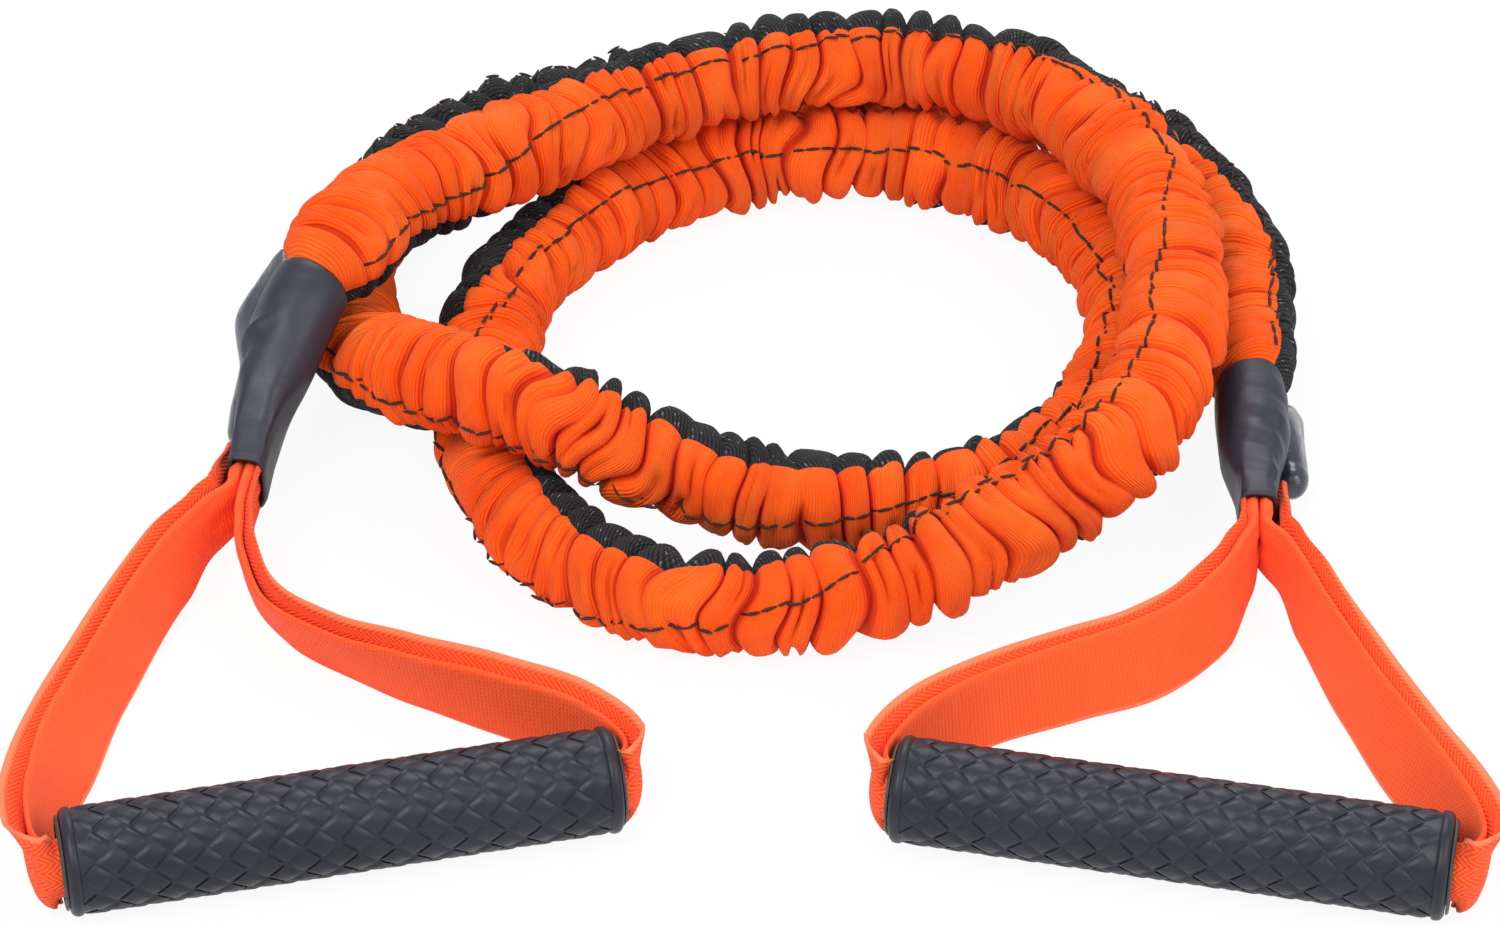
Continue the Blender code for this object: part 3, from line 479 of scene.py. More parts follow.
# The two ends. Points are measured from the coil's middle. Outer is the sign of the cover's sideways axis
# that points away from the coil. Reach is how far the webbing's corner stands off a grip's end, which is
# less at the inner ends than in the solids. A leg station: share of the straight line from neck to grip,
# bulge outwards from it, and outward lean of the webbing's top edge in degrees.
LEFT = {
    "side": "left",
    "rim": (-0.1178, -0.0092, 0.0500),
    "neck": (-0.1361, -0.0636, 0.0172),
    "rim_heading": (-0.46, -0.87, -0.18),
    "neck_heading": (-0.12, -0.95, -0.28),
    "outer": 1.0,
    "outer_leg": "leg_a",
    "grip_middle": (-0.1010, -0.1928),
    "grip_turn": 13.2,
    "reach_a": 0.0085,
    "reach_b": 0.0044,
    "leg_a": [(0.10, 0.0050, 6), (0.22, 0.0080, 16), (0.51, 0.0092, 20), (0.72, 0.0080, 30),
              (0.88, 0.0050, 16)],
    "leg_b": [(0.09, -0.0105, -4), (0.17, -0.0190, -10), (0.30, -0.0250, -22), (0.43, -0.0222, -22),
              (0.57, -0.0158, -14), (0.73, -0.0065, -6), (0.88, 0.0005, 0)],
}
RIGHT = {
    "side": "right",
    "rim": (0.1382, -0.0215, 0.0217),
    "neck": (0.1350, -0.0800, 0.0172),
    "rim_heading": (0.0, -1.0, 0.0),
    "neck_heading": (-0.06, -1.0, -0.04),
    "outer": -1.0,
    "outer_leg": "leg_b",
    "grip_middle": (0.1040, -0.1953),
    "grip_turn": -12.25,
    "reach_a": 0.0044,
    "reach_b": 0.0085,
    "leg_a": [(0.11, -0.0075, 12), (0.24, -0.0133, 24), (0.40, -0.0122, 26), (0.55, -0.0060, 18),
              (0.73, 0.0012, 10), (0.89, 0.0035, 4)],
    "leg_b": [(0.10, 0.0020, 4), (0.23, 0.0012, 10), (0.47, -0.0004, 14), (0.69, -0.0004, 20),
              (0.87, 0.0010, 12)],
}


# Lines and rings

def hermite(start, leave, finish, arrive, u):
    """Point at a share of a smooth span, from its ends and its slopes there."""
    return (start * (2 * u ** 3 - 3 * u ** 2 + 1) + leave * (u ** 3 - 2 * u ** 2 + u)
            + finish * (3 * u ** 2 - 2 * u ** 3) + arrive * (u ** 3 - u ** 2))


def smooth_line(points, steps):
    """Points on a smooth curve through the given ones, with equal steps in each span."""
    spans = [(after - before).length for before, after in zip(points, points[1:])]
    slopes = [(after - before) / span for before, after, span in zip(points, points[1:], spans)]
    headings = [slopes[0]]
    for i in range(1, len(slopes)):
        headings.append((slopes[i - 1] * spans[i] + slopes[i] * spans[i - 1]) / (spans[i - 1] + spans[i]))
    headings.append(slopes[-1])
    line = []
    for i, span in enumerate(spans):
        leave = headings[i] * span
        arrive = headings[i + 1] * span
        for step in range(steps):
            line.append(hermite(points[i], leave, points[i + 1], arrive, step / steps))
    line.append(points[-1].copy())
    return line


def station_point(station):
    turned, radius, height = station
    angle = math.pi - math.radians(turned)
    return COIL_MIDDLE + Vector((radius * math.cos(angle), radius * math.sin(angle), height))


def neck_point(end):
    return COIL_MIDDLE + Vector(end["neck"])


def neck_line(end):
    """Centre line of an end cover, from its rim to the neck's hinge axis."""
    rim = COIL_MIDDLE + Vector(end["rim"])
    neck = neck_point(end)
    reach = (neck - rim).length
    leave = Vector(end["rim_heading"]).normalized() * reach
    arrive = Vector(end["neck_heading"]).normalized() * reach
    return [hermite(rim, leave, neck, arrive, i / NECK_STEPS) for i in range(NECK_STEPS + 1)]


def whole_line():
    """Centre line from one neck to the other, through both covers and round the coil."""
    ends = []
    for end in (LEFT, RIGHT):
        rim = COIL_MIDDLE + Vector(end["rim"])
        inward = Vector(end["rim_heading"]).normalized()
        ends.append([rim, rim - inward * SLEEVE_CREST_RADIUS])
    points = ends[0] + [station_point(station) for station in COIL_STATIONS] + ends[1][::-1]
    return neck_line(LEFT)[:0:-1] + smooth_line(points, COIL_STEPS) + neck_line(RIGHT)[1:]


def as_rows(points):
    return np.array([point[:] for point in points])


def run_lengths(rows):
    """Distance along a line of each of its points."""
    steps = np.linalg.norm(np.diff(rows, axis=0), axis=1)
    return np.concatenate([[0.0], np.cumsum(steps)])


def follow(line, distance):
    """Points, headings, level sideways axes and rise axes at distances along a line."""
    rows = as_rows(line)
    lengths = run_lengths(rows)

    def at(run):
        return np.stack([np.interp(run, lengths, rows[:, axis]) for axis in range(3)], axis=1)

    heading = unit(at(distance + HEADING_REACH) - at(distance - HEADING_REACH))
    side = unit(np.cross(heading, Z_UP))
    return at(distance), heading, side, np.cross(side, heading)


def unit(rows):
    return rows / np.linalg.norm(rows, axis=-1, keepdims=True)


def ease(share):
    """A share that starts and stops gently."""
    share = np.clip(share, 0.0, 1.0)
    return share * share * (3.0 - 2.0 * share)


def wrapped(angle):
    """The same angle, between minus and plus half a turn."""
    return (angle + math.pi) % math.tau - math.pi


def ring_angles(count):
    """Angles of the points round a ring, half a step off the sideways axis."""
    return (np.arange(count) + 0.5) * (math.tau / count)


def read_table(table, places):
    """Each further column of a table, read at places in its first column."""
    rows = np.array(table, float)
    return [np.interp(places, rows[:, 0], column) for column in rows[:, 1:].T]


def smoothed(row, weights):
    """A row of values averaged with their neighbours, with the end values carried on."""
    return np.convolve(np.pad(row, len(weights) // 2, "edge"), weights / weights.sum(), "valid")


# Meshes

def tube_mesh(name, points, uv, loop=False):
    """Skin a grid of points: rings along the first axis, points round each ring along the second. A
    loop joins its last ring to its first one, and any other tube gets a cap at each end."""
    rings, sides = points.shape[:2]
    rows = rings if loop else rings - 1
    i, j = np.meshgrid(np.arange(rows), np.arange(sides), indexing="ij")
    after = (i + 1) % rings
    beside = (j + 1) % sides
    quads = np.stack([i * sides + j, after * sides + j, after * sides + beside, i * sides + beside], axis=-1)
    quads = quads.reshape(-1, 4)
    corners = [quads.ravel()]
    starts = np.arange(len(quads)) * 4
    sizes = np.full(len(quads), 4)
    if not loop:
        corners += [np.arange(sides), (rings - 1) * sides + np.arange(sides)[::-1]]
        starts = np.concatenate([starts, [quads.size, quads.size + sides]])
        sizes = np.concatenate([sizes, [sides, sides]])
    mesh = bpy.data.meshes.new(name)
    mesh.vertices.add(rings * sides)
    mesh.vertices.foreach_set("co", points.astype(np.float32).ravel())
    corners = np.concatenate(corners)
    mesh.loops.add(len(corners))
    mesh.loops.foreach_set("vertex_index", corners.astype(np.int32))
    mesh.polygons.add(len(sizes))
    mesh.polygons.foreach_set("loop_start", starts.astype(np.int32))
    mesh.update(calc_edges=True)
    layer = mesh.uv_layers.new(name="cloth")
    across = np.stack([j, j, j + 1, j + 1], axis=-1).reshape(-1, 4)
    along = np.stack([i, i + 1, i + 1, i], axis=-1).reshape(-1, 4)
    loops = np.zeros((len(corners), 2), np.float32)
    u = np.concatenate([uv[0], uv[0][-1:]], axis=0)
    u = np.concatenate([u, u[:, :1]], axis=1)
    v = np.concatenate([uv[1], 2.0 * uv[1][-1:] - uv[1][-2:-1]], axis=0)
    v = np.concatenate([v, 2.0 * v[:, -1:] - v[:, -2:-1]], axis=1)
    loops[:quads.size, 0] = u[along, across].ravel()
    loops[:quads.size, 1] = v[along, across].ravel()
    layer.data.foreach_set("uv", loops.ravel())
    mesh.shade_smooth()
    mesh.validate()
    face_out(mesh)
    return mesh


def face_out(mesh):
    bm = bmesh.new()
    bm.from_mesh(mesh)
    bmesh.ops.recalc_face_normals(bm, faces=bm.faces)
    bm.to_mesh(mesh)
    bm.free()


def point_value(mesh, name, values):
    layer = mesh.attributes.new(name, "FLOAT", "POINT")
    layer.data.foreach_set("value", values.astype(np.float32).ravel())


def add_piece(name, mesh, material):
    obj = bpy.data.objects.new(name, mesh)
    bpy.context.scene.collection.objects.link(obj)
    obj.data.materials.clear()
    obj.data.materials.append(material)
    return obj


# Node trees

class Nodes:
    """Adds nodes to one tree and joins them."""

    def __init__(self, tree):
        self.tree = tree

    def add(self, kind, inputs=(), **settings):
        node = self.tree.nodes.new(kind)
        for key, value in settings.items():
            setattr(node, key, value)
        for key, value in dict(inputs).items():
            self.feed(node.inputs[key], value)
        return node

    def feed(self, socket, value):
        if isinstance(value, bpy.types.NodeSocket):
            self.tree.links.new(value, socket)
        else:
            socket.default_value = value

    def made(self, kind, inputs=(), **settings):
        """Add a node and give its first output."""
        return self.add(kind, inputs, **settings).outputs[0]

    def maths(self, operation, a, b=0.0, c=0.0):
        return self.made("ShaderNodeMath", {0: a, 1: b, 2: c}, operation=operation)


class Maker(Nodes):
    """Builds one procedural material."""

    def __init__(self, name, roughness, **constants):
        self.material = bpy.data.materials.new(name)
        self.material.use_nodes = True
        super().__init__(self.material.node_tree)
        self.shader = self.tree.nodes["Principled BSDF"]
        self.shader.inputs["Roughness"].default_value = roughness
        for socket, value in constants.items():
            self.shader.inputs[socket.replace("_", " ")].default_value = value

    def spread(self, value, low, high, to_low=0.0, to_high=1.0):
        """Map a span of values smoothly onto another."""
        inputs = {"Value": value, "From Min": low, "From Max": high, "To Min": to_low, "To Max": to_high}
        return self.made("ShaderNodeMapRange", inputs, interpolation_type="SMOOTHSTEP")

    def blend(self, share, *colours):
        """Mix two colours, each a socket or three shares of light."""
        node = self.add("ShaderNodeMix", data_type="RGBA")
        self.feed(node.inputs[0], share)
        for index, colour in zip((6, 7), colours):
            plain = not isinstance(colour, bpy.types.NodeSocket)
            self.feed(node.inputs[index], (*colour, 1.0) if plain else colour)
        return node.outputs[2]

    def patches(self, cloudy, colour, light):
        """Soft patches of two colours."""
        return self.blend(self.spread(cloudy, 0.3, 0.7), colour, light)

    def place(self):
        return self.add("ShaderNodeTexCoord").outputs["Object"]

    def stretched(self, scale):
        return self.made("ShaderNodeMapping", {"Vector": self.place(), "Scale": scale})

    def cloth(self):
        """The two lengths along and across the cloth."""
        uv = self.add("ShaderNodeUVMap", uv_map="cloth").outputs["UV"]
        parts = self.add("ShaderNodeSeparateXYZ", {"Vector": uv})
        return parts.outputs[0], parts.outputs[1], uv

    def value(self, name):
        return self.add("ShaderNodeAttribute", attribute_name=name).outputs["Fac"]

    def noise(self, vector, scale, detail=3.0):
        inputs = {"Vector": vector, "Scale": scale, "Detail": detail}
        return self.add("ShaderNodeTexNoise", inputs).outputs["Fac"]

    def stripes(self, value, pitch):
        """Even waves from 0 to 1 along a length."""
        turn = self.maths("MULTIPLY", value, math.tau / pitch)
        return self.maths("MULTIPLY_ADD", self.maths("SINE", turn), 0.5, 0.5)

    def slanted(self, along, across, slope, pitch):
        """Even waves that run aslant over the cloth."""
        return self.stripes(self.maths("MULTIPLY_ADD", across, slope, along), pitch)

    def bump(self, height, distance, strength=1.0, under=None):
        inputs = {"Height": height, "Distance": distance, "Strength": strength}
        if under is not None:
            inputs["Normal"] = under
        return self.made("ShaderNodeBump", inputs)

    def finish(self, colour, normal, roughness=None):
        self.feed(self.shader.inputs["Base Color"], colour)
        self.feed(self.shader.inputs["Normal"], normal)
        if roughness is not None:
            self.feed(self.shader.inputs["Roughness"], roughness)
        return self.material


class Grower(Nodes):
    """Builds one Geometry Nodes tree with named inputs."""

    def __init__(self, name, inputs):
        super().__init__(bpy.data.node_groups.new(name, "GeometryNodeTree"))
        sockets = self.tree.interface
        sockets.new_socket("Geometry", in_out="INPUT", socket_type="NodeSocketGeometry")
        for label, kind in inputs.items():
            sockets.new_socket(label, in_out="INPUT", socket_type="NodeSocket" + kind)
        sockets.new_socket("Geometry", in_out="OUTPUT", socket_type="NodeSocketGeometry")
        self.entry = self.add("NodeGroupInput")

    def given(self, label):
        return self.entry.outputs[label]

    def finish(self, geometry, material):
        """Give the geometry its material and close the tree."""
        painted = self.made("GeometryNodeSetMaterial", {"Geometry": geometry, "Material": material})
        self.add("NodeGroupOutput", {"Geometry": painted})
        return self.tree


def grown(obj, tree, values):
    """Run a Geometry Nodes tree on an object and return the result as a plain mesh."""
    modifier = obj.modifiers.new(tree.name, "NODES")
    modifier.node_group = tree
    for item in tree.interface.items_tree:
        if item.item_type == "SOCKET" and item.in_out == "INPUT" and item.name in values:
            modifier[item.identifier] = values[item.name]
    depsgraph = bpy.context.evaluated_depsgraph_get()
    mesh = bpy.data.meshes.new_from_object(obj.evaluated_get(depsgraph), depsgraph=depsgraph)
    obj.modifiers.remove(modifier)
    return mesh


# Materials

def sleeve_fabric(looks):
    """Ribbed orange cloth with deep red painted shade in its creases and between its ribs on one side, black twill
    with pale flecks on the other.
    """
    maker = Maker("sleeve_fabric", 0.85, Sheen_Weight=0.04, Sheen_Roughness=0.5, Specular_IOR_Level=0.15)
    along, across, uv = maker.cloth()
    ribs = maker.stripes(along, looks.rib_pitch)
    wear = maker.noise(maker.place(), scale=60.0, detail=4.0)
    rubbed = maker.blend(maker.spread(wear, 0.3, 0.75), looks.orange, looks.orange_light)
    # Painted shade: deep orange between the ribs, and in the creases and hollows by the crease value
    ribbed = maker.blend(maker.spread(ribs, 0.0, 0.45, 0.22, 0.0), rubbed, looks.orange_shade)
    crease = maker.spread(maker.value("crease"), 0.35, 1.0, 0.0, 0.85)
    orange = maker.blend(crease, ribbed, looks.orange_shade)
    twill = maker.stripes(maker.maths("ADD", along, maker.maths("MULTIPLY", across, SLEEVE_TWILL_SLOPE)),
                          SLEEVE_TWILL_PITCH)
    plain = maker.blend(maker.spread(twill, 0.2, 0.9, 0.0, 0.6), looks.black, looks.black_light)
    fleck = maker.spread(maker.noise(uv, scale=420.0, detail=1.0), 0.62, 0.69)
    dash = maker.maths("MULTIPLY", fleck, maker.spread(twill, 0.5, 0.9, 0.0, 0.8))
    black = maker.blend(dash, plain, looks.fleck)
    dark = maker.spread(maker.value("black_side"), -0.5 * EDGE_WIDTH, 0.5 * EDGE_WIDTH)
    weave = maker.noise(uv, scale=2600.0, detail=2.0)
    height = maker.maths("MULTIPLY_ADD", weave, 0.35, ribs)
    return maker.finish(maker.blend(dark, orange, black), maker.bump(height, distance=0.00035, strength=0.8))


def stitch_thread(stitching):
    maker = Maker("stitch_thread", 0.7, Specular_IOR_Level=0.3)
    fibres = maker.noise(maker.place(), scale=3000.0, detail=2.0)
    colour = maker.blend(fibres, stitching.thread, stitching.thread_light)
    return maker.finish(colour, maker.bump(fibres, distance=0.0002, strength=0.6))


def chevron_weave(maker, along, across):
    """Rows of chevrons across the webbing."""
    zigzag = maker.maths("PINGPONG", maker.maths("ADD", across, CHEVRON_SHIFT), CHEVRON_WIDTH)
    threads = maker.slanted(along, zigzag, CHEVRON_SLOPE, CHEVRON_PITCH)
    rows = maker.stripes(across, CHEVRON_ROW_PITCH)
    return maker.maths("MULTIPLY", threads, maker.spread(rows, 0.0, 0.5, 0.6, 1.0))


def plain_weave(maker, along, across):
    """Fine cords across a twill."""
    cords = maker.stripes(along, CORD_PITCH)
    twill = maker.slanted(along, across, WEBBING_TWILL_SLOPE, WEBBING_TWILL_PITCH)
    return maker.maths("MULTIPLY_ADD", twill, 0.4, maker.maths("MULTIPLY", cords, 0.6))


def webbing_cloth(looks, name, chevrons):
    """Woven webbing with a paler selvedge and painted shade between its threads. Chevrons have darker painted shade
    and are deeper between their threads.
    """
    maker = Maker(name, 0.8, Sheen_Weight=0.06, Sheen_Roughness=0.5, Specular_IOR_Level=0.2)
    along, across, uv = maker.cloth()
    if chevrons:
        weave = chevron_weave(maker, along, across)
        between = maker.spread(weave, 0.15, 0.45, 0.75, 0.0)
        depth = 0.0003
    else:
        weave = plain_weave(maker, along, across)
        between = maker.spread(weave, 0.1, 0.5, 0.40, 0.0)
        depth = 0.0002
    cloudy = maker.noise(maker.place(), scale=45.0)
    # Painted shade: deep coral between the threads, where the weave is low
    threaded = maker.blend(between, maker.blend(cloudy, looks.coral, looks.coral_light), looks.coral_shade)
    selvedge = maker.spread(maker.maths("ABSOLUTE", across), SELVEDGE_START, SELVEDGE_END, 0.0, 0.7)
    fibres = maker.noise(uv, scale=2400.0, detail=2.0)
    height = maker.maths("MULTIPLY_ADD", fibres, 0.3, weave)
    return maker.finish(maker.blend(selvedge, threaded, looks.coral_pale),
                        maker.bump(height, distance=depth, strength=0.8))


def shrunk_plastic(looks, name, colours, roughness, coat, relief):
    """Heat-shrunk plastic: faintly uneven, with drawn lines."""
    maker = Maker(name, roughness, Coat_Weight=coat, Coat_Roughness=0.3, Specular_IOR_Level=0.45)
    cloudy = maker.noise(maker.place(), scale=70.0)
    drawn = maker.noise(maker.stretched((1.0, 1.0, 6.0)), scale=260.0)
    uneven = looks.gloss_variation
    rough = maker.spread(cloudy, 0.25, 0.75, roughness - uneven, roughness + uneven)
    fine = maker.bump(maker.noise(maker.place(), scale=1800.0, detail=2.0), distance=0.00004, strength=0.5)
    return maker.finish(maker.patches(cloudy, *colours), maker.bump(drawn, relief, 0.8, fine), rough)


def grip_rubber(looks):
    """Matt moulded rubber with a fine grain and soft patches."""
    maker = Maker("grip_rubber", 0.5, Specular_IOR_Level=0.36)
    grain = maker.noise(maker.place(), scale=5200.0, detail=2.0)
    cloudy = maker.noise(maker.place(), scale=38.0)
    rough = maker.spread(grain, 0.3, 0.7, looks.roughness - RUBBER_UNEVENNESS,
                         looks.roughness + RUBBER_UNEVENNESS)
    return maker.finish(maker.patches(cloudy, looks.slate, looks.slate_light),
                        maker.bump(grain, distance=0.00006, strength=0.5), rough)


def moulded_plastic(name, colour, roughness):
    maker = Maker(name, roughness)
    grain = maker.noise(maker.place(), scale=2600.0, detail=2.0)
    dark, light = ([share * part for part in colour] for share in PLASTIC_SHADES)
    return maker.finish(maker.blend(grain, dark, light), maker.bump(grain, distance=0.00005, strength=0.5))


def crimped_steel(looks):
    maker = Maker("crimped_steel", 0.34, Metallic=1.0)
    lines = maker.noise(maker.stretched((1.0, 12.0, 1.0)), scale=500.0)
    colour = maker.blend(lines, looks.steel, looks.steel_light)
    rough = maker.spread(lines, 0.2, 0.8, 0.26, 0.42)
    return maker.finish(colour, maker.bump(lines, distance=0.00005, strength=0.5), rough)


def natural_latex(looks):
    maker = Maker("natural_latex", 0.42, Subsurface_Weight=0.15, Subsurface_Scale=0.004)
    bloom = maker.noise(maker.place(), scale=150.0, detail=4.0)
    colour = maker.blend(bloom, looks.latex, looks.latex_light)
    return maker.finish(colour, maker.bump(bloom, distance=0.0001, strength=0.4))


# The gathered sleeve

def pleat_habits(looks):
    """Random but fixed differences from pleat to pleat."""
    rng = np.random.default_rng(looks.seed)
    count = looks.pleats + 2
    rows = (len(HOLLOW_ARCS), count)
    return {
        "depth": rng.uniform(0.66, 1.00, count),
        "fade": rng.uniform(0.10, 0.55, count),
        "fade_turns": rng.integers(1, 3, count),
        "fade_start": rng.uniform(0.0, math.tau, count),
        "height": rng.uniform(-0.22, 0.14, count),
        "skew": rng.uniform(0.66, 1.50, count),
        "hollow_turn": np.stack([rng.uniform(math.radians(low), math.radians(high), count)
                                 for low, high in HOLLOW_ARCS]),
        "hollow_reach": rng.uniform(0.30, 0.80, rows),
        "hollow_place": rng.uniform(0.34, 0.66, rows),
        "hollow_depth": rng.uniform(-0.35, 1.00, rows).clip(0.0, 0.85),
        "ripple_start": rng.uniform(0.0, math.tau, (len(RIPPLES), count)),
        "stitch_step": rng.uniform(-5.0, 5.0, count),
    }


def pleat_phase(looks, distance, theta):
    """Count of pleats passed at places along and round the sleeve."""
    phase = distance / SLEEVE_LENGTH * looks.pleats
    steady = ease(np.minimum(distance, SLEEVE_LENGTH - distance) / WAVE_START_LENGTH)
    for share, turns, span, start in PLEAT_WAVES:
        phase = phase + steady * share * np.sin(turns * theta + math.tau * distance / span + start)
    return phase


def pleat_distance(looks, phase, theta):
    """Distance along the sleeve at which a count of pleats is passed."""
    pitch = SLEEVE_LENGTH / looks.pleats
    distance = np.broadcast_to(phase * pitch, np.broadcast(phase, theta).shape)
    for _ in range(SEARCH_ROUNDS):
        distance = distance - SEARCH_STEP * pitch * (pleat_phase(looks, distance, theta) - phase)
    return np.clip(distance, 0.0, SLEEVE_LENGTH)


def crease_depth(habits, crease, theta):
    """Depth of a crease as a share. It comes and goes round the sleeve."""
    wave = np.sin(habits["fade_turns"][crease] * theta + habits["fade_start"][crease])
    return habits["depth"][crease] + habits["fade"][crease] * wave


def pleat_hollows(habits, pleat, inside, theta):
    """Depth of the hollows pressed into the pleats, as a share of the creases' depth."""
    hollows = np.zeros(np.broadcast(inside, theta).shape)
    for row in range(len(HOLLOW_ARCS)):
        turn, reach, place, depth = (habits["hollow_" + habit][row][pleat]
                                     for habit in ("turn", "reach", "place", "depth"))
        off = wrapped(theta - turn)
        narrow = HOLLOW_WIDTH - HOLLOW_TAPER * np.clip(off / reach, -1.0, 1.0)
        groove = np.clip(1.0 - np.abs(inside - place) / narrow, 0.0, 1.0) ** HOLLOW_SHARPNESS
        hollows += depth * np.exp(-(off / reach) ** 4) * groove
    return hollows


def pleat_surface(looks, habits, distance, theta, phase):
    """Radius, painted crease shade and distance past the black side's edge, at places along and round the
    sleeve. Theta is measured from the middle of the black half."""
    pleat = np.clip(np.floor(phase), 0, looks.pleats - 1).astype(int)
    inside = np.clip(phase - pleat, 0.0, 1.0)
    leant = inside ** habits["skew"][pleat]
    bulge = (1.0 - np.abs(2.0 * leant - 1.0) ** TOP_FLATNESS) ** SHOULDER_FULLNESS
    before, after = (crease_depth(habits, crease, theta) for crease in (pleat, pleat + 1))
    depth = np.clip(before + (after - before) * ease(inside), LEAST_DEPTH, 1.0)
    raised = 1.0 - depth * (1.0 - bulge) + habits["height"][pleat] * bulge
    hollows = pleat_hollows(habits, pleat, inside, theta)
    # Painted shade: darker in deep creases and in the hollows
    crease = np.clip(depth * (1.0 - bulge) * CREASE_SHADE + hollows, 0.0, 1.0)
    past = (math.radians(BLACK_HALF_ANGLE) - np.abs(wrapped(theta))) * SLEEVE_CREST_RADIUS
    seam = np.exp(-(past / SEAM_WIDTH) ** 2)
    black = ease(past / STEP_WIDTH + 0.5)
    ripple = sum(height * np.sin(waves * theta + start[pleat] + drift * inside)
                 for (waves, height, drift), start in zip(RIPPLES, habits["ripple_start"]))
    radius = SLEEVE_CREST_RADIUS + looks.fullness - looks.pleat_depth * (1.0 - raised + hollows)
    radius = radius + looks.ripple * ripple * bulge
    radius = radius - black * looks.black_inset - seam * looks.seam_depth
    from_end = np.minimum(distance + LEFT_PUFF, SLEEVE_LENGTH - distance) - SLEEVE_TUCK_LENGTH
    radius = SLEEVE_TUCKED_RADIUS + (radius - SLEEVE_TUCKED_RADIUS) * ease(from_end / OPENING_LENGTH)
    return radius, crease, past


def sleeve_frame(distance):
    """Centre line, sideways and rise axes, and rolls of the black half's middle and of the stitch row,
    at distances along the sleeve."""
    line = whole_line()
    start = run_lengths(as_rows(neck_line(LEFT)))[-1] - SLEEVE_TUCK_LENGTH
    places = np.linspace(0.0, SLEEVE_LENGTH, ROLL_POINTS)
    centres, _, _, _ = follow(line, places + start)
    turned = np.unwrap(np.pi - np.arctan2(centres[:, 1] - COIL_MIDDLE.y, centres[:, 0] - COIL_MIDDLE.x))
    turned = np.degrees(turned - math.tau * (turned[0] > math.pi))
    rolls = []
    for stations in (BLACK_ROLLS, STITCH_ROLLS):
        roll = smoothed(read_table(stations, turned)[0], np.ones(ROLL_SMOOTHING))
        rolls.append(np.interp(distance, places, np.radians(roll)))
    flat = np.ravel(distance) + start
    centres, _, side, rise = (rows.reshape(*np.shape(distance), 3) for rows in follow(line, flat))
    return centres, side, rise, *rolls


def on_sleeve(centres, side, rise, radius, angle):
    """Points at a radius and roll round the centre line."""
    return centres + radius[..., None] * (np.cos(angle)[..., None] * side + np.sin(angle)[..., None] * rise)


def rest_on_floor(points):
    points[..., 2] = np.maximum(points[..., 2], FLOOR_GAP)
    return points


def build_sleeve(looks):
    """The sleeve's mesh, with the painted shade of its creases and its black side kept on its points."""
    phase = (np.arange(looks.pleats)[:, None] + np.array(PLEAT_RINGS)).ravel()
    phase = np.append(phase, looks.pleats)[:, None]
    theta = (np.arange(looks.sides) * (math.tau / looks.sides))[None, :]
    distance = pleat_distance(looks, phase, theta)
    centres, side, rise, black_roll, _ = sleeve_frame(distance)
    radius, crease, past = pleat_surface(looks, pleat_habits(looks), distance, theta, phase)
    points = rest_on_floor(on_sleeve(centres, side, rise, radius, theta + black_roll))
    run = np.broadcast_to(phase * (CLOTH_FULLNESS * SLEEVE_LENGTH / looks.pleats), distance.shape)
    round_run = np.broadcast_to(theta * SLEEVE_CREST_RADIUS, distance.shape)
    mesh = tube_mesh("gathered_sleeve", points, (run, round_run))
    # Painted shade of the creases and hollows, which the sleeve's material reads
    point_value(mesh, "crease", crease)
    point_value(mesh, "black_side", np.broadcast_to(past, distance.shape))
    return add_piece("gathered_sleeve", mesh, sleeve_fabric(looks))


def stitch_route(looks):
    """The stitch row's path over the pleats, as a chain of edges. It steps a little from pleat to pleat
    and sinks out of sight in the creases."""
    habits = pleat_habits(looks)
    room = SLEEVE_TUCK_LENGTH + STITCH_ROOM
    distance = np.linspace(room, SLEEVE_LENGTH - room, STITCH_POINTS)
    centres, side, rise, black_roll, stitch_roll = sleeve_frame(distance)
    phase = pleat_phase(looks, distance, stitch_roll - black_roll)
    pleat = np.floor(phase).astype(int)
    step = habits["stitch_step"]
    moved = ease((phase - pleat - SIDESTEP_START) / (1.0 - SIDESTEP_START))
    angle = stitch_roll + np.radians(step[pleat] + (step[pleat + 1] - step[pleat]) * moved)
    radius, crease, _ = pleat_surface(looks, habits, distance, angle - black_roll, phase)
    radius = radius + STITCH_LIFT - STITCH_SINK * ease((crease - SINK_START) / SINK_SPAN)
    points = rest_on_floor(on_sleeve(centres, side, rise, radius, angle))
    mesh = bpy.data.meshes.new("stitch_route")
    mesh.from_pydata(points.tolist(), [(i, i + 1) for i in range(len(points) - 1)], [])
    return mesh


def stitch_tree():
    """Short lengths of thread laid end to end along an edge chain."""
    maker = Grower("stitch_row", {"Stitch Pitch": "Float", "Stitch Length": "Float", "Thread Radius": "Float",
                                  "Thread": "Material"})
    curve = maker.made("GeometryNodeMeshToCurve", {"Mesh": maker.given("Geometry")})
    spaced = maker.made("GeometryNodeResampleCurve",
                        {"Curve": curve, "Length": maker.given("Stitch Pitch")}, mode="LENGTH")
    tangent = maker.made("GeometryNodeInputTangent")
    turn = maker.made("FunctionNodeAlignRotationToVector", {"Vector": tangent}, axis="Z")
    thread = maker.made("GeometryNodeMeshUVSphere",
                        {"Segments": 6, "Rings": 5, "Radius": maker.given("Thread Radius")})
    longer = maker.maths("DIVIDE", maker.given("Stitch Length"), maker.given("Thread Radius"))
    half = maker.maths("MULTIPLY", longer, 0.5)
    stretch = maker.made("ShaderNodeCombineXYZ", {"X": 1.0, "Y": 1.0, "Z": half})
    laid = maker.made("GeometryNodeInstanceOnPoints",
                      {"Points": spaced, "Instance": thread, "Rotation": turn, "Scale": stretch})
    real = maker.made("GeometryNodeRealizeInstances", {"Geometry": laid})
    return maker.finish(real, maker.given("Thread"))


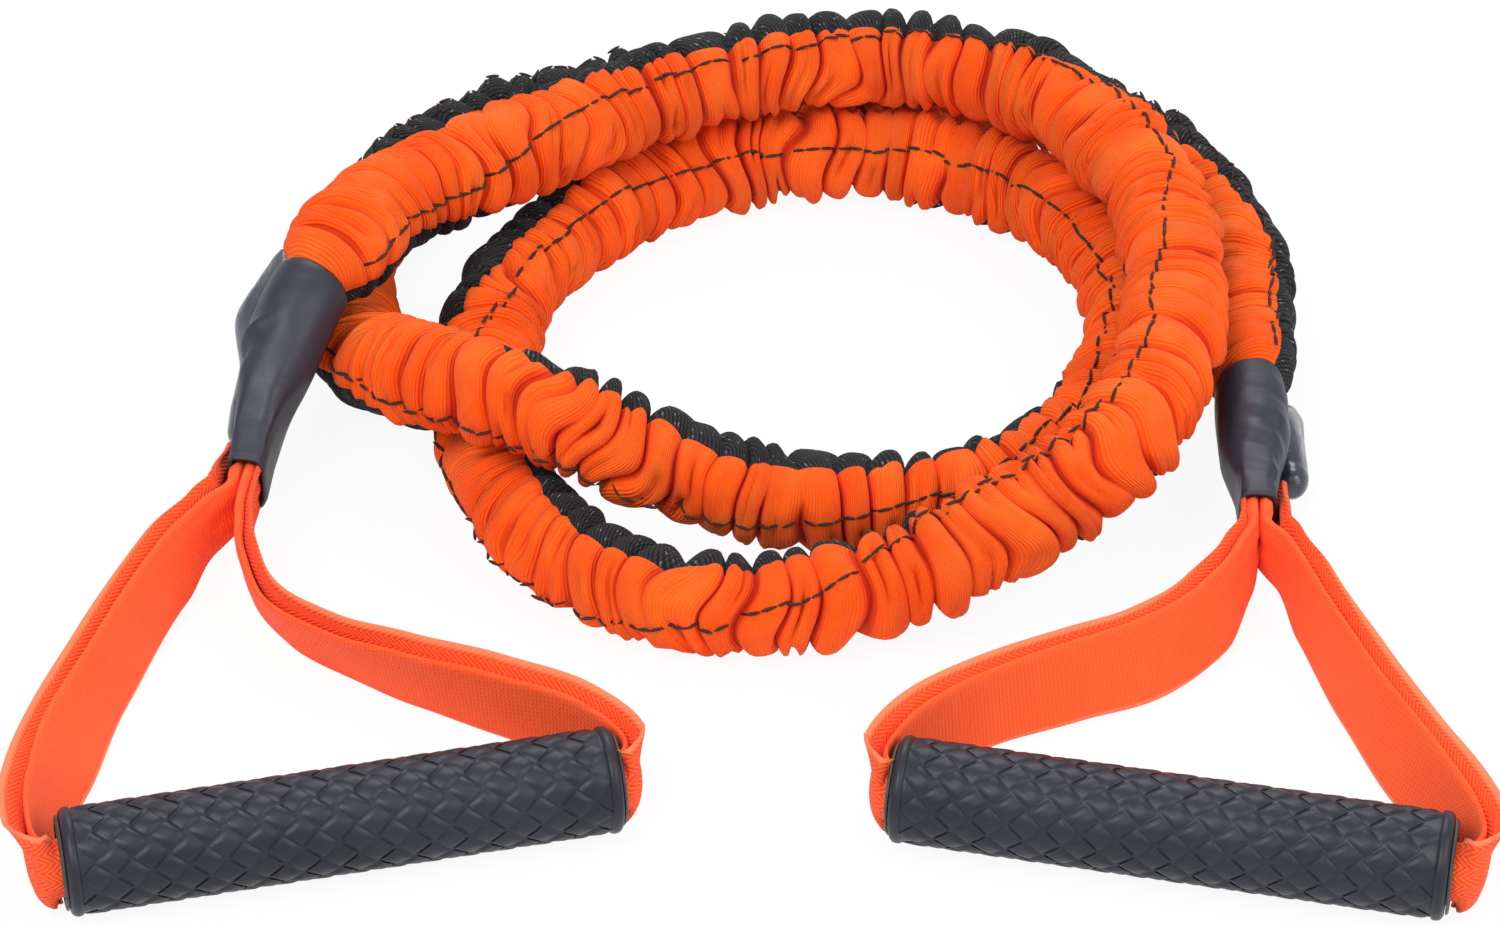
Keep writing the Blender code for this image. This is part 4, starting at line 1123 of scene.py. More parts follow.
def build_stitches(looks, stitching):
    carrier = bpy.data.objects.new("stitch_carrier", stitch_route(looks))
    bpy.context.scene.collection.objects.link(carrier)
    thread = stitch_thread(stitching)
    mesh = grown(carrier, stitch_tree(), {
        "Stitch Pitch": stitching.pitch, "Stitch Length": stitching.length,
        "Thread Radius": stitching.radius, "Thread": thread})
    bpy.data.objects.remove(carrier, do_unlink=True)
    mesh.shade_smooth()
    return add_piece("sleeve_stitches", mesh, thread)


# Covers

def plan_forward(end):
    """Level heading in which the strap leaves the neck."""
    return Vector((end["neck_heading"][0], end["neck_heading"][1], 0.0)).normalized()


def plan_across(end):
    forward = plan_forward(end)
    return Vector((forward.y, -forward.x, 0.0))


def cover_axes(end, share):
    """Centre, sideways and rise axes at shares of a cover's length. The mouth stands upright."""
    line = neck_line(end)
    run = run_lengths(as_rows(line))[-1] - STRAP_END_RADIUS - TOUCH_GAP
    within = np.clip(share, 0.0, 1.0)
    centres, heading, _, _ = follow(line, within * run)
    heading[:, 2] *= 1.0 - within ** 2
    side = unit(np.cross(heading, Z_UP))
    rise = unit(np.cross(side, heading))
    return centres + unit(heading) * ((share - within) * run)[:, None], side, rise


def folds(share, angle, creases):
    """Height of the folds at places on a cover."""
    total = np.zeros(np.broadcast(share, angle).shape)
    for middle, slant, turn, reach, width, height in creases:
        off = wrapped(angle - math.radians(turn))
        across = (share - middle - slant * off) / width
        total += height * np.exp(-across ** 2 - (off / reach) ** 2)
    return total


def turned_in(from_edge, edge):
    """How far a cover's edge is turned in at distances from it."""
    width, depth = edge
    return np.maximum(1.0 - from_edge / width, 0.0) ** 2 * depth


def squared(ratio, power):
    """A sine or cosine drawn out towards a squarer ring."""
    return np.sign(ratio) * np.abs(ratio) ** power


def build_cover(end, looks):
    """Skin of a shrunk cover: squared and flattened at its mouth, rolled at its rim and creased."""
    node = end["side"] + "_cover"
    share = np.linspace(*COVER_SPANS[end["side"]], COVER_RINGS)
    half_width, half_height, squareness = read_table(COVER_PROFILE, share)
    half_width, half_height, outer, inner = (
        smoothed(row, COVER_SMOOTHING)
        for row in (half_width, half_height, *read_table(COVER_SIDES[end["side"]], share)))
    angle = ring_angles(COVER_POINTS)
    centres, side, rise = cover_axes(end, share)
    wrinkle = folds(share[:, None], angle[None, :], COVER_FOLDS[end["side"]]) * looks.fold_height
    waves = np.sin(SKIN_WAVES * angle[None, :] + SKIN_WAVE_DRIFT * share[:, None])
    wrinkle += SKIN_WAVE_HEIGHT * waves * ease(share[:, None] * SKIN_WAVE_START)
    edges = turned_in(share - share[0], COVER_RIM) + turned_in(share[-1] - share, COVER_LIP)
    outwards = np.cos(angle)[None, :] * end["outer"]
    stand_off = outer[:, None] * np.maximum(outwards, 0.0) + inner[:, None] * np.maximum(-outwards, 0.0)
    power = 2.0 / squareness[:, None]

    def skin(inset, crumple):
        grow = wrinkle * crumple - inset - edges[:, None] * crumple
        wide = (half_width[:, None] + grow + stand_off) * squared(np.cos(angle), power)
        high = (half_height[:, None] + grow) * squared(np.sin(angle), power)
        return centres[:, None] + side[:, None] * wide[..., None] + rise[:, None] * high[..., None]

    points = rest_on_floor(np.concatenate([skin(0.0, 1.0), skin(looks.wall, 0.0)[::-1]], axis=0))
    length, radius = COVER_CLOTH
    along = np.concatenate([share, share[::-1]]) * length
    mesh = tube_mesh(node + "_skin", points, np.meshgrid(along, angle * radius, indexing="ij"), loop=True)
    plastic = shrunk_plastic(looks, node + "_plastic", (looks.slate, looks.slate_light),
                             roughness=0.50, coat=0.05, relief=0.00010)
    cover = add_piece(node + "_skin", mesh, plastic)
    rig.ride(cover, "tube")
    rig.replaces(cover, node)
    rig.slot(cover, "cover")


def tail_axis(end):
    """Start and end points of the solid cover of the folded-back tail, which is long and round."""
    vertices = as_rows(vertex.co for vertex in CAD_NODES[end["side"] + "_tail_cover"].data.vertices)
    middle = vertices.mean(axis=0)
    heading = np.linalg.svd(vertices - middle, full_matrices=False)[2][0]
    heading = heading if heading[1] < 0.0 else -heading
    reach = (vertices - middle) @ heading
    return middle + heading * reach.min(), middle + heading * reach.max()


def drawn_to_cover(end, looks, share, angle, centres, side, rise):
    """Radius at which a tail cover's skin, drawn out towards the end cover, meets it."""
    cover_line, _, _ = cover_axes(end, np.linspace(0.0, 1.0, COVER_LINE_POINTS))
    gaps = cover_line[None, :] - centres[:, None]
    nearest = gaps[np.arange(len(gaps)), np.argmin(np.linalg.norm(gaps, axis=2), axis=1)]
    over = nearest @ side
    up = nearest @ rise
    rounded = np.clip(1.0 - (2.0 * (share - DRAWN_MIDDLE)) ** 2, 0.0, 1.0) ** DRAWN_FALL
    drawn = np.maximum(np.hypot(over, up) - looks.tail_merge, 0.0) * rounded
    return drawn[:, None], np.cos(angle[None, :] - np.arctan2(up, over)[:, None])


def build_tail(end, looks):
    """The second lobe: a shrunk cover over the tube's folded-back tail, bulging and drawn in at both ends."""
    low, high = tail_axis(end)
    lobes = TAIL_LOBES[end["side"]]
    share = np.linspace(lobes[0][0], lobes[-1][0], TAIL_RINGS)
    radius, bulge = read_table(lobes, share)
    axis = high - low
    side = unit(np.cross(unit(axis), Z_UP))
    rise = np.cross(side, unit(axis))
    centres = low + axis * share[:, None]
    angle = ring_angles(TAIL_POINTS)
    wrinkle = folds(share[:, None], angle[None, :], TAIL_FOLDS) * looks.fold_height
    outwards = np.maximum(np.cos(angle) * end["outer"], 0.0)[None, :]
    radius = radius[:, None] + wrinkle.clip(-DEEPEST_TAIL_FOLD, None)
    radius = radius + smoothed(bulge, TAIL_SMOOTHING)[:, None] * outwards ** LOBE_FOCUS
    drawn, facing = drawn_to_cover(end, looks, share, angle, centres, side, rise)
    radius = radius + np.maximum(drawn - radius, 0.0) * np.maximum(facing, 0.0) ** LOBE_FOCUS
    across = np.cos(angle)[None, :, None] * side + np.sin(angle)[None, :, None] * rise
    points = rest_on_floor(centres[:, None] + radius[..., None] * across)
    node = end["side"] + "_tail_cover"
    length, width = TAIL_CLOTH
    mesh = tube_mesh(node + "_skin", points, np.meshgrid(share * length, angle * width, indexing="ij"))
    plastic = shrunk_plastic(looks, node + "_plastic", (looks.tail_grey, looks.tail_light),
                             roughness=0.22, coat=0.6, relief=0.0005)
    tail = add_piece(node + "_skin", mesh, plastic)
    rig.ride(tail, "tube")
    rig.replaces(tail, node)
    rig.slot(tail, "tail_cover")


# Webbing

def leg_points(neck, corner, stations, outward_sign):
    along = corner - neck
    outward = Vector((along.y, -along.x)).normalized() * outward_sign
    return [(neck + along * share + outward * bulge, lean) for share, bulge, lean in stations]


def strap_path(end):
    """Stations round the handle loop: plan point with height, lean, curl, width and bunching."""
    neck = neck_point(end)
    plan_neck = neck.to_2d()
    forward = plan_forward(end).to_2d()
    across = plan_across(end).to_2d()
    middle = COIL_MIDDLE.to_2d() + Vector(end["grip_middle"])
    turn = math.radians(end["grip_turn"])
    axis = Vector((math.cos(turn), math.sin(turn)))
    outward = Vector((axis.y, -axis.x))
    half = 0.5 * GRIP_LENGTH
    lead = half + BUSH_FLANGE_LENGTH + TOUCH_GAP + CURL_LEAD
    offset = PLY_THICKNESS + 0.5 * PLY_GAP + 0.5 * TOUCH_GAP
    standing = 0.5 * WEBBING_WIDTH + FLOOR_GAP
    stations = []

    def add(point, height, lean=0.0, curled=0.0, width=WEBBING_WIDTH, root=0.0):
        stations.append((Vector((point.x, point.y, height)), math.radians(lean), curled, width, root))

    def height_at(share, lean):
        tilt = math.radians(lean)
        low = 0.5 * WEBBING_WIDTH * math.cos(tilt) + PLY_THICKNESS * abs(math.sin(tilt))
        return neck.z + (low + 3.0 * FLOOR_GAP - neck.z) * float(ease(share / SETTLE_SHARE))

    def add_leg(corner, leg, sign, backwards):
        start = plan_neck + across * (offset * sign)
        roots = (start - forward * ROOT_LENGTH, start, start + forward * STRAP_END_RADIUS)
        row = [(point, neck.z, NECK_LEAN, 0.0, width, root)
               for point, width, root in zip(roots, ROOT_WIDTHS, ROOT_SHARES)]
        for (point, lean), (share, _, _) in zip(leg_points(plan_neck, corner, end[leg], sign), end[leg]):
            width = WEBBING_WIDTH * float(np.interp(share, NECK_SHARES, NECK_WIDTHS))
            root = max(0.0, LEG_BUNCHING - BUNCHING_FADE * share)
            row.append((point, height_at(share, lean), lean, 0.0, width, root))
        for station in reversed(row) if backwards else row:
            add(*station)

    def corner_at(sign, reach):
        return middle + axis * (sign * (half + reach)) - outward * STRAP_CORNER_RISE

    def add_turn(sign, reach):
        point = middle + axis * (sign * (half + reach * CORNER_SHARE))
        add(point + outward * STRAP_CURL * CORNER_OUT, BEAD_RADIUS, 0.0, CORNER_CURL)

    corner_a = corner_at(-1.0, end["reach_a"])
    corner_b = corner_at(1.0, end["reach_b"])
    add_leg(corner_a, "leg_a", 1.0, False)
    add(corner_a, standing)
    add_turn(-1.0, end["reach_a"])
    for along in (-lead, CURL_LEAD - half, half - CURL_LEAD, lead):
        add(middle + axis * along + outward * STRAP_CURL, BEAD_RADIUS, 0.0, 1.0)
    add_turn(1.0, end["reach_b"])
    add(corner_b, standing)
    add_leg(corner_b, "leg_b", -1.0, True)
    return stations


def strap_line(end, looks):
    """Points round the loop with their station counts, leans, curls, widths and bunching."""
    stations = strap_path(end)
    points = as_rows(smooth_line([station[0] for station in stations], looks.steps))
    values = np.array([station[1:] for station in stations])
    index = np.arange(len(points)) / looks.steps
    low = np.minimum(index.astype(int), len(stations) - 2)
    share = ease(index - low)[:, None]
    return points, index, (values[low] + (values[low + 1] - values[low]) * share).T


def strap_outward(end, points, curled):
    """Level axis across the webbing at each point. Inside the grip it stands square to the grip."""
    turn = math.radians(end["grip_turn"])
    square = curled[:, None] ** SQUARING
    heading = unit(np.gradient(points[:, :2], axis=0))
    heading = unit(heading * (1.0 - square) + np.array([math.cos(turn), math.sin(turn)]) * square)
    return np.stack([heading[:, 1], -heading[:, 0], np.zeros(len(points))], axis=1)


def tuck_in(grid, end, looks, index, along):
    """Draw the webbing's lower edge in towards the grip where it turns into it."""
    turn = math.radians(end["grip_turn"])
    axis = np.array([math.cos(turn), math.sin(turn), 0.0])
    first = LEG_ROOT_STATIONS + len(end["leg_a"])
    below = np.maximum(0.5 - along / WEBBING_WIDTH, 0.0)
    for corner, reach, sign in ((first, end["reach_a"], 1.0), (first + TURN_STATIONS, end["reach_b"], -1.0)):
        near = ease(1.0 - np.abs(index - corner) / TUCK_STATIONS)
        drawn = looks.tuck * max(reach - looks.tuck_room, 0.0) * near[:, None] * below
        grid = grid + (sign * axis) * drawn[..., None]
    return grid


def strap_grid(end, looks, ply):
    """Rings of one ply round the loop, and their cloth lengths. The inner ply is 0, the outer one is 1."""
    points, index, (lean, curled, width, root) = strap_line(end, looks)
    width = np.maximum(width, looks.root_width * (1.0 - ply))
    outward = strap_outward(end, points, curled)
    up = Z_UP * np.cos(lean)[:, None] + outward * np.sin(lean)[:, None]
    normal = outward * np.cos(lean)[:, None] - Z_UP * np.sin(lean)[:, None]
    free = (1.0 - curled) * (1.0 - root)
    run = run_lengths(points)
    across = np.linspace(-0.5, 0.5, looks.width_steps + 1)
    around = np.concatenate([across, across[::-1]])
    skin = np.repeat([1.0, -1.0], len(across))
    rounded = np.maximum(1.0 - np.abs(2.0 * around) ** EDGE_SQUARENESS, EDGE_THICKNESS)
    thick = 0.5 * PLY_THICKNESS * np.sqrt(rounded)
    thick = thick[None, :] * (1.0 + looks.bunching * (1.0 - ply) * root[:, None])
    # The inner ply's upper edge sits a little lower, so that the outer one's shows as a band
    along = width[:, None] * around[None, :]
    along = along - looks.inner_drop * (1.0 - ply) * free[:, None] * np.maximum(2.0 * around, 0.0)[None, :]
    # The webbing is gathered in folds at the neck
    offset = (ply - 0.5) * (PLY_THICKNESS + PLY_GAP)
    gather = looks.gather_depth * root[:, None] * np.cos(math.tau * GATHER_WAVES * around[None, :])
    depth = offset + skin * thick + gather
    # The outer ply of the outer leg comes out beside the cover, from under the tail cover
    from_root = run if end["outer_leg"] == "leg_a" else run[-1] - run
    lifted = looks.outer_lift * (INNER_LIFT + (1.0 - INNER_LIFT) * ply)
    depth = depth + (lifted * (1.0 - ease((from_root - ROOT_LENGTH) / looks.lift_length)))[:, None]
    # The outer ply's upper edge is turned outwards
    edge = np.maximum(along - (0.5 * WEBBING_WIDTH - looks.flare_width), 0.0)
    uneven = 1.0 - FLARE_WAVE + FLARE_WAVE * np.sin(run * FLARE_WAVES)
    flare = (np.radians(looks.flare_angle) * ply * free * uneven)[:, None]
    depth = depth + edge * np.sin(flare)
    height = along - edge * (1.0 - np.cos(flare))
    flat = points[:, None] + normal[:, None] * depth[..., None] + up[:, None] * height[..., None]
    # Towards and in the grip it is curled round the bore
    curl_radius = STRAP_CURL / np.maximum(curled, LEAST_CURL)[:, None]
    angle = along / (curl_radius + offset)
    radius = curl_radius + depth
    inwards = normal[:, None] * (np.cos(angle) * radius - curl_radius)[..., None]
    bent = points[:, None] + inwards + up[:, None] * (np.sin(angle) * radius)[..., None]
    grid = np.where(curled[:, None, None] > CURL_START, bent, flat)
    grid = rest_on_floor(tuck_in(grid, end, looks, index, along))
    return grid, (np.repeat(run[:, None], len(around), axis=1), along)


def build_straps(end, looks):
    """Both plies of a handle's webbing. The inner one also shows in place of the root in the cover."""
    neck = neck_point(end)
    forward = plan_forward(end)
    body = end["side"] + "_handle"
    for name, ply, chevrons, nodes in (("inner", 0.0, False, ["_strap_inner", "_strap_root"]),
                                       ("outer", 1.0, True, ["_strap_outer"])):
        grid, cloth = strap_grid(end, looks, ply)
        label = f"{end['side']}_webbing_{name}"
        webbing = webbing_cloth(looks, label + "_cloth", chevrons)
        strap = add_piece(label, tube_mesh(label, grid, cloth), webbing)
        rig.blend(strap, "tube", body, start=neck - forward * 0.003, end=neck + forward * 0.014)
        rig.replaces(strap, *[end["side"] + node for node in nodes])
        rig.slot(strap, "webbing")


# Grips

def grip_place(end):
    middle = COIL_MIDDLE + Vector((*end["grip_middle"], BEAD_RADIUS))
    return Matrix.Translation(middle) @ Matrix.Rotation(math.radians(end["grip_turn"]), 4, "Z")


def tile_height(relief, along, across):
    """Height of a tile's dome. It is sunk a little, so that no gap shows under its sides."""
    side = math.sqrt(max(min((1.0 - abs(across)) / TILE_SLOPE, 1.0), 0.0))
    return relief * (1.0 - TILE_SAG * along * along) * side - TILE_SUNK * relief


def weave_tile(name, length, width, relief, falling):
    """One crossing of the weave: a lozenge domed along one strip, with steep sides."""
    bm = bmesh.new()
    rows = []
    for i in range(TILE_STEPS + 1):
        row = []
        for j in range(TILE_STEPS + 1):
            p = 2.0 * i / TILE_STEPS - 1.0
            q = 2.0 * j / TILE_STEPS - 1.0
            x = 0.25 * length * (p + q) * TILE_FILL
            y = 0.25 * width * (p - q) * TILE_FILL
            row.append(bm.verts.new((x, y, tile_height(relief, *((q, p) if falling else (p, q))))))
        rows.append(row)
    for row, beside in zip(rows, rows[1:]):
        for j in range(TILE_STEPS):
            bm.faces.new((row[j], row[j + 1], beside[j + 1], beside[j]))
    bmesh.ops.recalc_face_normals(bm, faces=bm.faces)
    if bm.faces[0].normal.z < 0.0:
        bmesh.ops.reverse_faces(bm, faces=bm.faces)
    mesh = bpy.data.meshes.new(name)
    bm.to_mesh(mesh)
    bm.free()
    mesh.shade_smooth()
    obj = bpy.data.objects.new(name, mesh)
    bpy.context.scene.collection.objects.link(obj)
    return obj


def weave_tree():
    """Crossing strips of a basket weave: two kinds of tile set alternately on a grid, then wrapped
    round a cylinder about X."""
    maker = Grower("basket_weave", {"Columns": "Int", "Rows": "Int", "Tile Length": "Float",
                                    "Tile Width": "Float", "Radius": "Float", "Rising Tile": "Object",
                                    "Falling Tile": "Object", "Rubber": "Material"})
    given = maker.given
    length, width = (maker.maths("MULTIPLY", maker.maths("SUBTRACT", given(count), 1.0), given(step))
                     for count, step in (("Columns", "Tile Length"), ("Rows", "Tile Width")))
    both = maker.add("GeometryNodeJoinGeometry")
    for tile, shift in (("Rising Tile", 0.0), ("Falling Tile", 0.5)):
        grid = maker.made("GeometryNodeMeshGrid", {
            "Size X": length, "Size Y": width, "Vertices X": given("Columns"), "Vertices Y": given("Rows")})
        source = maker.add("GeometryNodeObjectInfo", {"Object": given(tile)}).outputs["Geometry"]
        tiles = maker.made("GeometryNodeInstanceOnPoints", {"Points": grid, "Instance": source})
        over = maker.maths("MULTIPLY", given("Tile Length"), shift)
        beside = maker.maths("MULTIPLY", given("Tile Width"), shift)
        offset = maker.made("ShaderNodeCombineXYZ", {"X": over, "Y": beside})
        moved = maker.made("GeometryNodeTransform", {"Geometry": tiles, "Translation": offset})
        maker.feed(both.inputs[0], moved)
    real = maker.made("GeometryNodeRealizeInstances", {"Geometry": both.outputs[0]})
    place = maker.made("GeometryNodeInputPosition")
    parts = maker.add("ShaderNodeSeparateXYZ", {"Vector": place}).outputs
    angle = maker.maths("DIVIDE", parts[1], given("Radius"))
    reach = maker.maths("ADD", parts[2], given("Radius"))
    level = maker.maths("MULTIPLY", maker.maths("COSINE", angle), reach)
    rise = maker.maths("MULTIPLY", maker.maths("SINE", angle), reach)
    wrapped_place = maker.made("ShaderNodeCombineXYZ", {"X": parts[0], "Y": level, "Z": rise})
    rolled = maker.made("GeometryNodeSetPosition", {"Geometry": real, "Position": wrapped_place})
    return maker.finish(rolled, given("Rubber"))


def build_weave(end, looks, rubber):
    """The raised weave of a grip, as one mesh in place."""
    free = GRIP_LENGTH - 2.0 * (BEAD_LENGTH + GROOVE_LENGTH * WEAVE_GROOVE_SHARE) - WEAVE_ROOM
    length = free / looks.columns
    base = GRIP_RADIUS - looks.relief
    width = math.tau * base / looks.rows
    rising, falling = (weave_tile(name, length, width, looks.relief, name == "falling_tile")
                       for name in ("rising_tile", "falling_tile"))
    carrier = bpy.data.objects.new("weave_carrier", bpy.data.meshes.new("weave_carrier"))
    bpy.context.scene.collection.objects.link(carrier)
    mesh = grown(carrier, weave_tree(), {
        "Columns": looks.columns, "Rows": looks.rows, "Tile Length": length, "Tile Width": width,
        "Radius": base, "Rising Tile": rising, "Falling Tile": falling, "Rubber": rubber})
    for spare in (rising, falling, carrier):
        bpy.data.objects.remove(spare, do_unlink=True)
    mesh.transform(Matrix.Translation((-0.25 * length, 0.0, 0.0)))
    mesh.transform(grip_place(end))
    return mesh


def grip_outline(looks):
    """Distances along a grip from its middle and radii, from one bore's edge round to the other's."""
    half = 0.5 * GRIP_LENGTH
    groove = GRIP_RADIUS - GROOVE_DEPTH
    groove_start = half - BEAD_LENGTH
    base = GRIP_RADIUS - looks.relief
    outline = [(half - BORE_BEVEL_LENGTH, GRIP_BORE), (half, GRIP_BORE + BORE_BEVEL)]
    outline += [(half - inset, BEAD_RADIUS - drop) for inset, drop in BEAD_OUTLINE]
    outline += [(groove_start - GROOVE_SLOPE, groove), (groove_start - GROOVE_LENGTH, groove),
                (groove_start - GROOVE_LENGTH - GROOVE_SLOPE, base), (MIDDLE_RING, base)]
    return np.array(outline + [(-along, radius) for along, radius in reversed(outline)])


def build_grip(end, looks):
    """Rubber body of a grip with a rounded bead and a groove at each end, and its raised weave."""
    outline = grip_outline(looks)
    angle = np.arange(GRIP_POINTS) * (math.tau / GRIP_POINTS)
    points = np.stack([np.repeat(outline[:, :1], GRIP_POINTS, axis=1), outline[:, 1:] * np.cos(angle),
                       outline[:, 1:] * np.sin(angle)], axis=-1)
    cloth = np.meshgrid(outline[:, 0], angle * GRIP_RADIUS, indexing="ij")
    node = end["side"] + "_grip_cover"
    rubber = grip_rubber(looks)
    mesh = tube_mesh(node + "_body", points, cloth, loop=True)
    mesh.transform(grip_place(end))
    mesh.set_sharp_from_angle(angle=math.radians(SHARP_ANGLE))
    body = add_piece(end["side"] + "_grip_body", mesh, rubber)
    weave = add_piece(end["side"] + "_grip_weave", build_weave(end, looks, rubber), rubber)
    for piece in (body, weave):
        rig.ride(piece, end["side"] + "_grip")
        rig.slot(piece, "grip")
    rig.replaces(body, node)


# Solids that keep their shape

def dress(nodes, material):
    """Give solids of the frame a material."""
    for node in nodes:
        obj = CAD_NODES[node]
        obj.data.materials.clear()
        obj.data.materials.append(material)


# Settings

def count_setting(name, description, default):
    return bpy.props.IntProperty(name=name, description=description, default=default)


def share_setting(name, description, default):
    return bpy.props.FloatProperty(name=name, description=description, default=default)


def colour_setting(name, description, default):
    return bpy.props.FloatVectorProperty(name=name, description=description, default=default, size=3,
                                         min=0.0, max=1.0, subtype="COLOR")


def size_setting(name, description, default):
    return bpy.props.FloatProperty(name=name, description=description, default=default, min=0.0,
                                   precision=5, unit="LENGTH", subtype="DISTANCE")


class SleeveLooks(bpy.types.PropertyGroup):
    """Sizes and colours of the gathered sleeve."""
    pleats: count_setting("Pleats", "Pleats along the whole sleeve", 196)
    sides: count_setting("Sides", "Mesh points round the sleeve", 48)
    seed: count_setting("Seed", "Seed of the differences between pleats", 7)
    fullness: size_setting("Fullness", "How far pleats stand past the crest radius of the solid", 0.0008)
    pleat_depth: size_setting("Pleat Depth", "Depth of the creases between pleats", 0.0058)
    ripple: size_setting("Ripple", "Height of the ripples along the crests", 0.0003)
    black_inset: size_setting("Black Inset", "How much lower the black half lies", 0.0010)
    seam_depth: size_setting("Seam Depth", "Depth of the groove between the two colours", 0.0012)
    rib_pitch: size_setting("Rib Pitch", "Spacing of the cloth's fine ribs", 0.0009)
    orange: colour_setting("Orange", "Main colour of the cloth", (1.0, 0.100, 0.005))
    orange_light: colour_setting("Light Orange", "Colour of rubbed and stretched cloth", (1.0, 0.150, 0.014))
    # Painted shade in the creases and between the ribs
    orange_shade: colour_setting("Orange Shade", "Colour in creases and between ribs", (0.50, 0.012, 0.0005))
    black: colour_setting("Black", "Colour of the far half", (0.011, 0.011, 0.012))
    black_light: colour_setting("Light Black", "Colour of the far half's twill lines", (0.050, 0.050, 0.056))
    fleck: colour_setting("Fleck", "Colour of the pale flecks in the black twill", (0.22, 0.23, 0.25))


class StitchLooks(bpy.types.PropertyGroup):
    """Sizes and colours of the sleeve's stitch row."""
    pitch: size_setting("Stitch Pitch", "Distance from stitch to stitch", 0.0044)
    length: size_setting("Stitch Length", "Length of thread that shows", 0.0046)
    radius: size_setting("Thread Radius", "Radius of the thread", 0.00052)
    thread: colour_setting("Thread", "Main colour of the thread", (0.018, 0.010, 0.008))
    thread_light: colour_setting("Light Thread", "Colour of its paler fibres", (0.07, 0.028, 0.016))


class WebbingLooks(bpy.types.PropertyGroup):
    """Sizes and colours of the handles' webbing."""
    steps: count_setting("Steps", "Mesh rings between stations", 10)
    width_steps: count_setting("Width Steps", "Mesh faces across the webbing", 18)
    flare_angle: share_setting("Flare Angle", "How far the outer ply's edge turns out, in degrees", 42.0)
    flare_width: size_setting("Flare Width", "Width of the outer ply's turned edge", 0.0068)
    tuck: share_setting("Tuck", "How far the lower edge is drawn in, as a share of the room", 0.7)
    tuck_room: size_setting("Tuck Room", "Room kept between the drawn-in edge and the grip's end", 0.0050)
    inner_drop: size_setting("Inner Drop", "How much lower the inner ply's upper edge sits", 0.0024)
    root_width: size_setting("Root Width", "Least width of the inner ply inside the cover", 0.0135)
    gather_depth: size_setting("Gather Depth", "Depth of the folds at the neck", 0.0005)
    bunching: share_setting("Bunching", "How much thicker the folded webbing is in the cover", 1.3)
    outer_lift: size_setting("Outer Lift", "How far outside the cover the outer ply starts", 0.0037)
    lift_length: size_setting("Lift Length", "Length over which that ply comes back to the inner one", 0.0200)
    coral: colour_setting("Coral", "Main colour of the webbing", (1.0, 0.098, 0.017))
    coral_light: colour_setting("Light Coral", "Colour of its paler parts", (1.0, 0.128, 0.032))
    # Painted shade between the threads
    coral_shade: colour_setting("Coral Shade", "Colour between its threads", (0.70, 0.036, 0.008))
    coral_pale: colour_setting("Pale Coral", "Colour of its selvedges", (1.0, 0.26, 0.12))


class CoverLooks(bpy.types.PropertyGroup):
    """Sizes and colours of the shrunk covers."""
    wall: size_setting("Wall", "Thickness of the covers", 0.0011)
    tail_merge: size_setting("Tail Merge", "How near a cover's middle its tail cover reaches", 0.0070)
    fold_height: share_setting("Fold Height", "Multiplies the height of the folds", 1.0)
    gloss_variation: share_setting("Gloss Variation", "Unevenness of the gloss", 0.07)
    slate: colour_setting("Slate", "Colour of the covers", (0.016, 0.019, 0.030))
    slate_light: colour_setting("Light Slate", "Colour of their paler patches", (0.024, 0.028, 0.042))
    tail_grey: colour_setting("Tail Grey", "Colour of the tail covers", (0.022, 0.028, 0.043))
    tail_light: colour_setting("Light Tail Grey", "Colour of their paler patches", (0.052, 0.060, 0.078))


class GripLooks(bpy.types.PropertyGroup):
    """Sizes and colours of the grips."""
    columns: count_setting("Columns", "Lozenges along a grip", 14)
    rows: count_setting("Rows", "Lozenges round a grip", 10)
    relief: size_setting("Relief", "Height of the raised weave", 0.0008)
    roughness: share_setting("Roughness", "Roughness of the rubber", 0.42)
    slate: colour_setting("Slate", "Colour of the rubber", (0.012, 0.014, 0.021))
    slate_light: colour_setting("Light Slate", "Colour of its paler patches", (0.018, 0.020, 0.029))


class FittingLooks(bpy.types.PropertyGroup):
    """Colours of the tube and the fittings inside the covers and grips."""
    latex: colour_setting("Latex", "Main colour of the elastic tube", (0.62, 0.40, 0.14))
    latex_light: colour_setting("Light Latex", "Colour of its paler bloom", (0.78, 0.56, 0.26))
    steel: colour_setting("Steel", "Main colour of the clamps", (0.42, 0.42, 0.44))
    steel_light: colour_setting("Light Steel", "Colour of their brushed lines", (0.62, 0.62, 0.64))
    core: colour_setting("Core", "Colour of the grips' pipes and bushes", (0.035, 0.037, 0.042))
    stopper: colour_setting("Stopper", "Colour of the stoppers", (0.012, 0.012, 0.012))


class StageLooks(bpy.types.PropertyGroup):
    """Camera and floor."""
    distance: size_setting("Camera Distance", "From the camera to its target", 1.3)
    elevation: share_setting("Elevation", "Height of the camera, in degrees", 37.0)
    lens: share_setting("Lens", "Focal length on a 36 mm wide frame, in mm", 115.56)
    floor: colour_setting("Floor", "Colour of the floor", (0.90, 0.90, 0.90))


# Operators

class TUBE_OT_stage(bpy.types.Operator):
    """Set up the camera, the lamps and the pale floor"""
    bl_idname = "tube.stage"
    bl_label = "Stage"

    def execute(self, context):
        build_stage(context.scene.tube_stage)
        return {"FINISHED"}


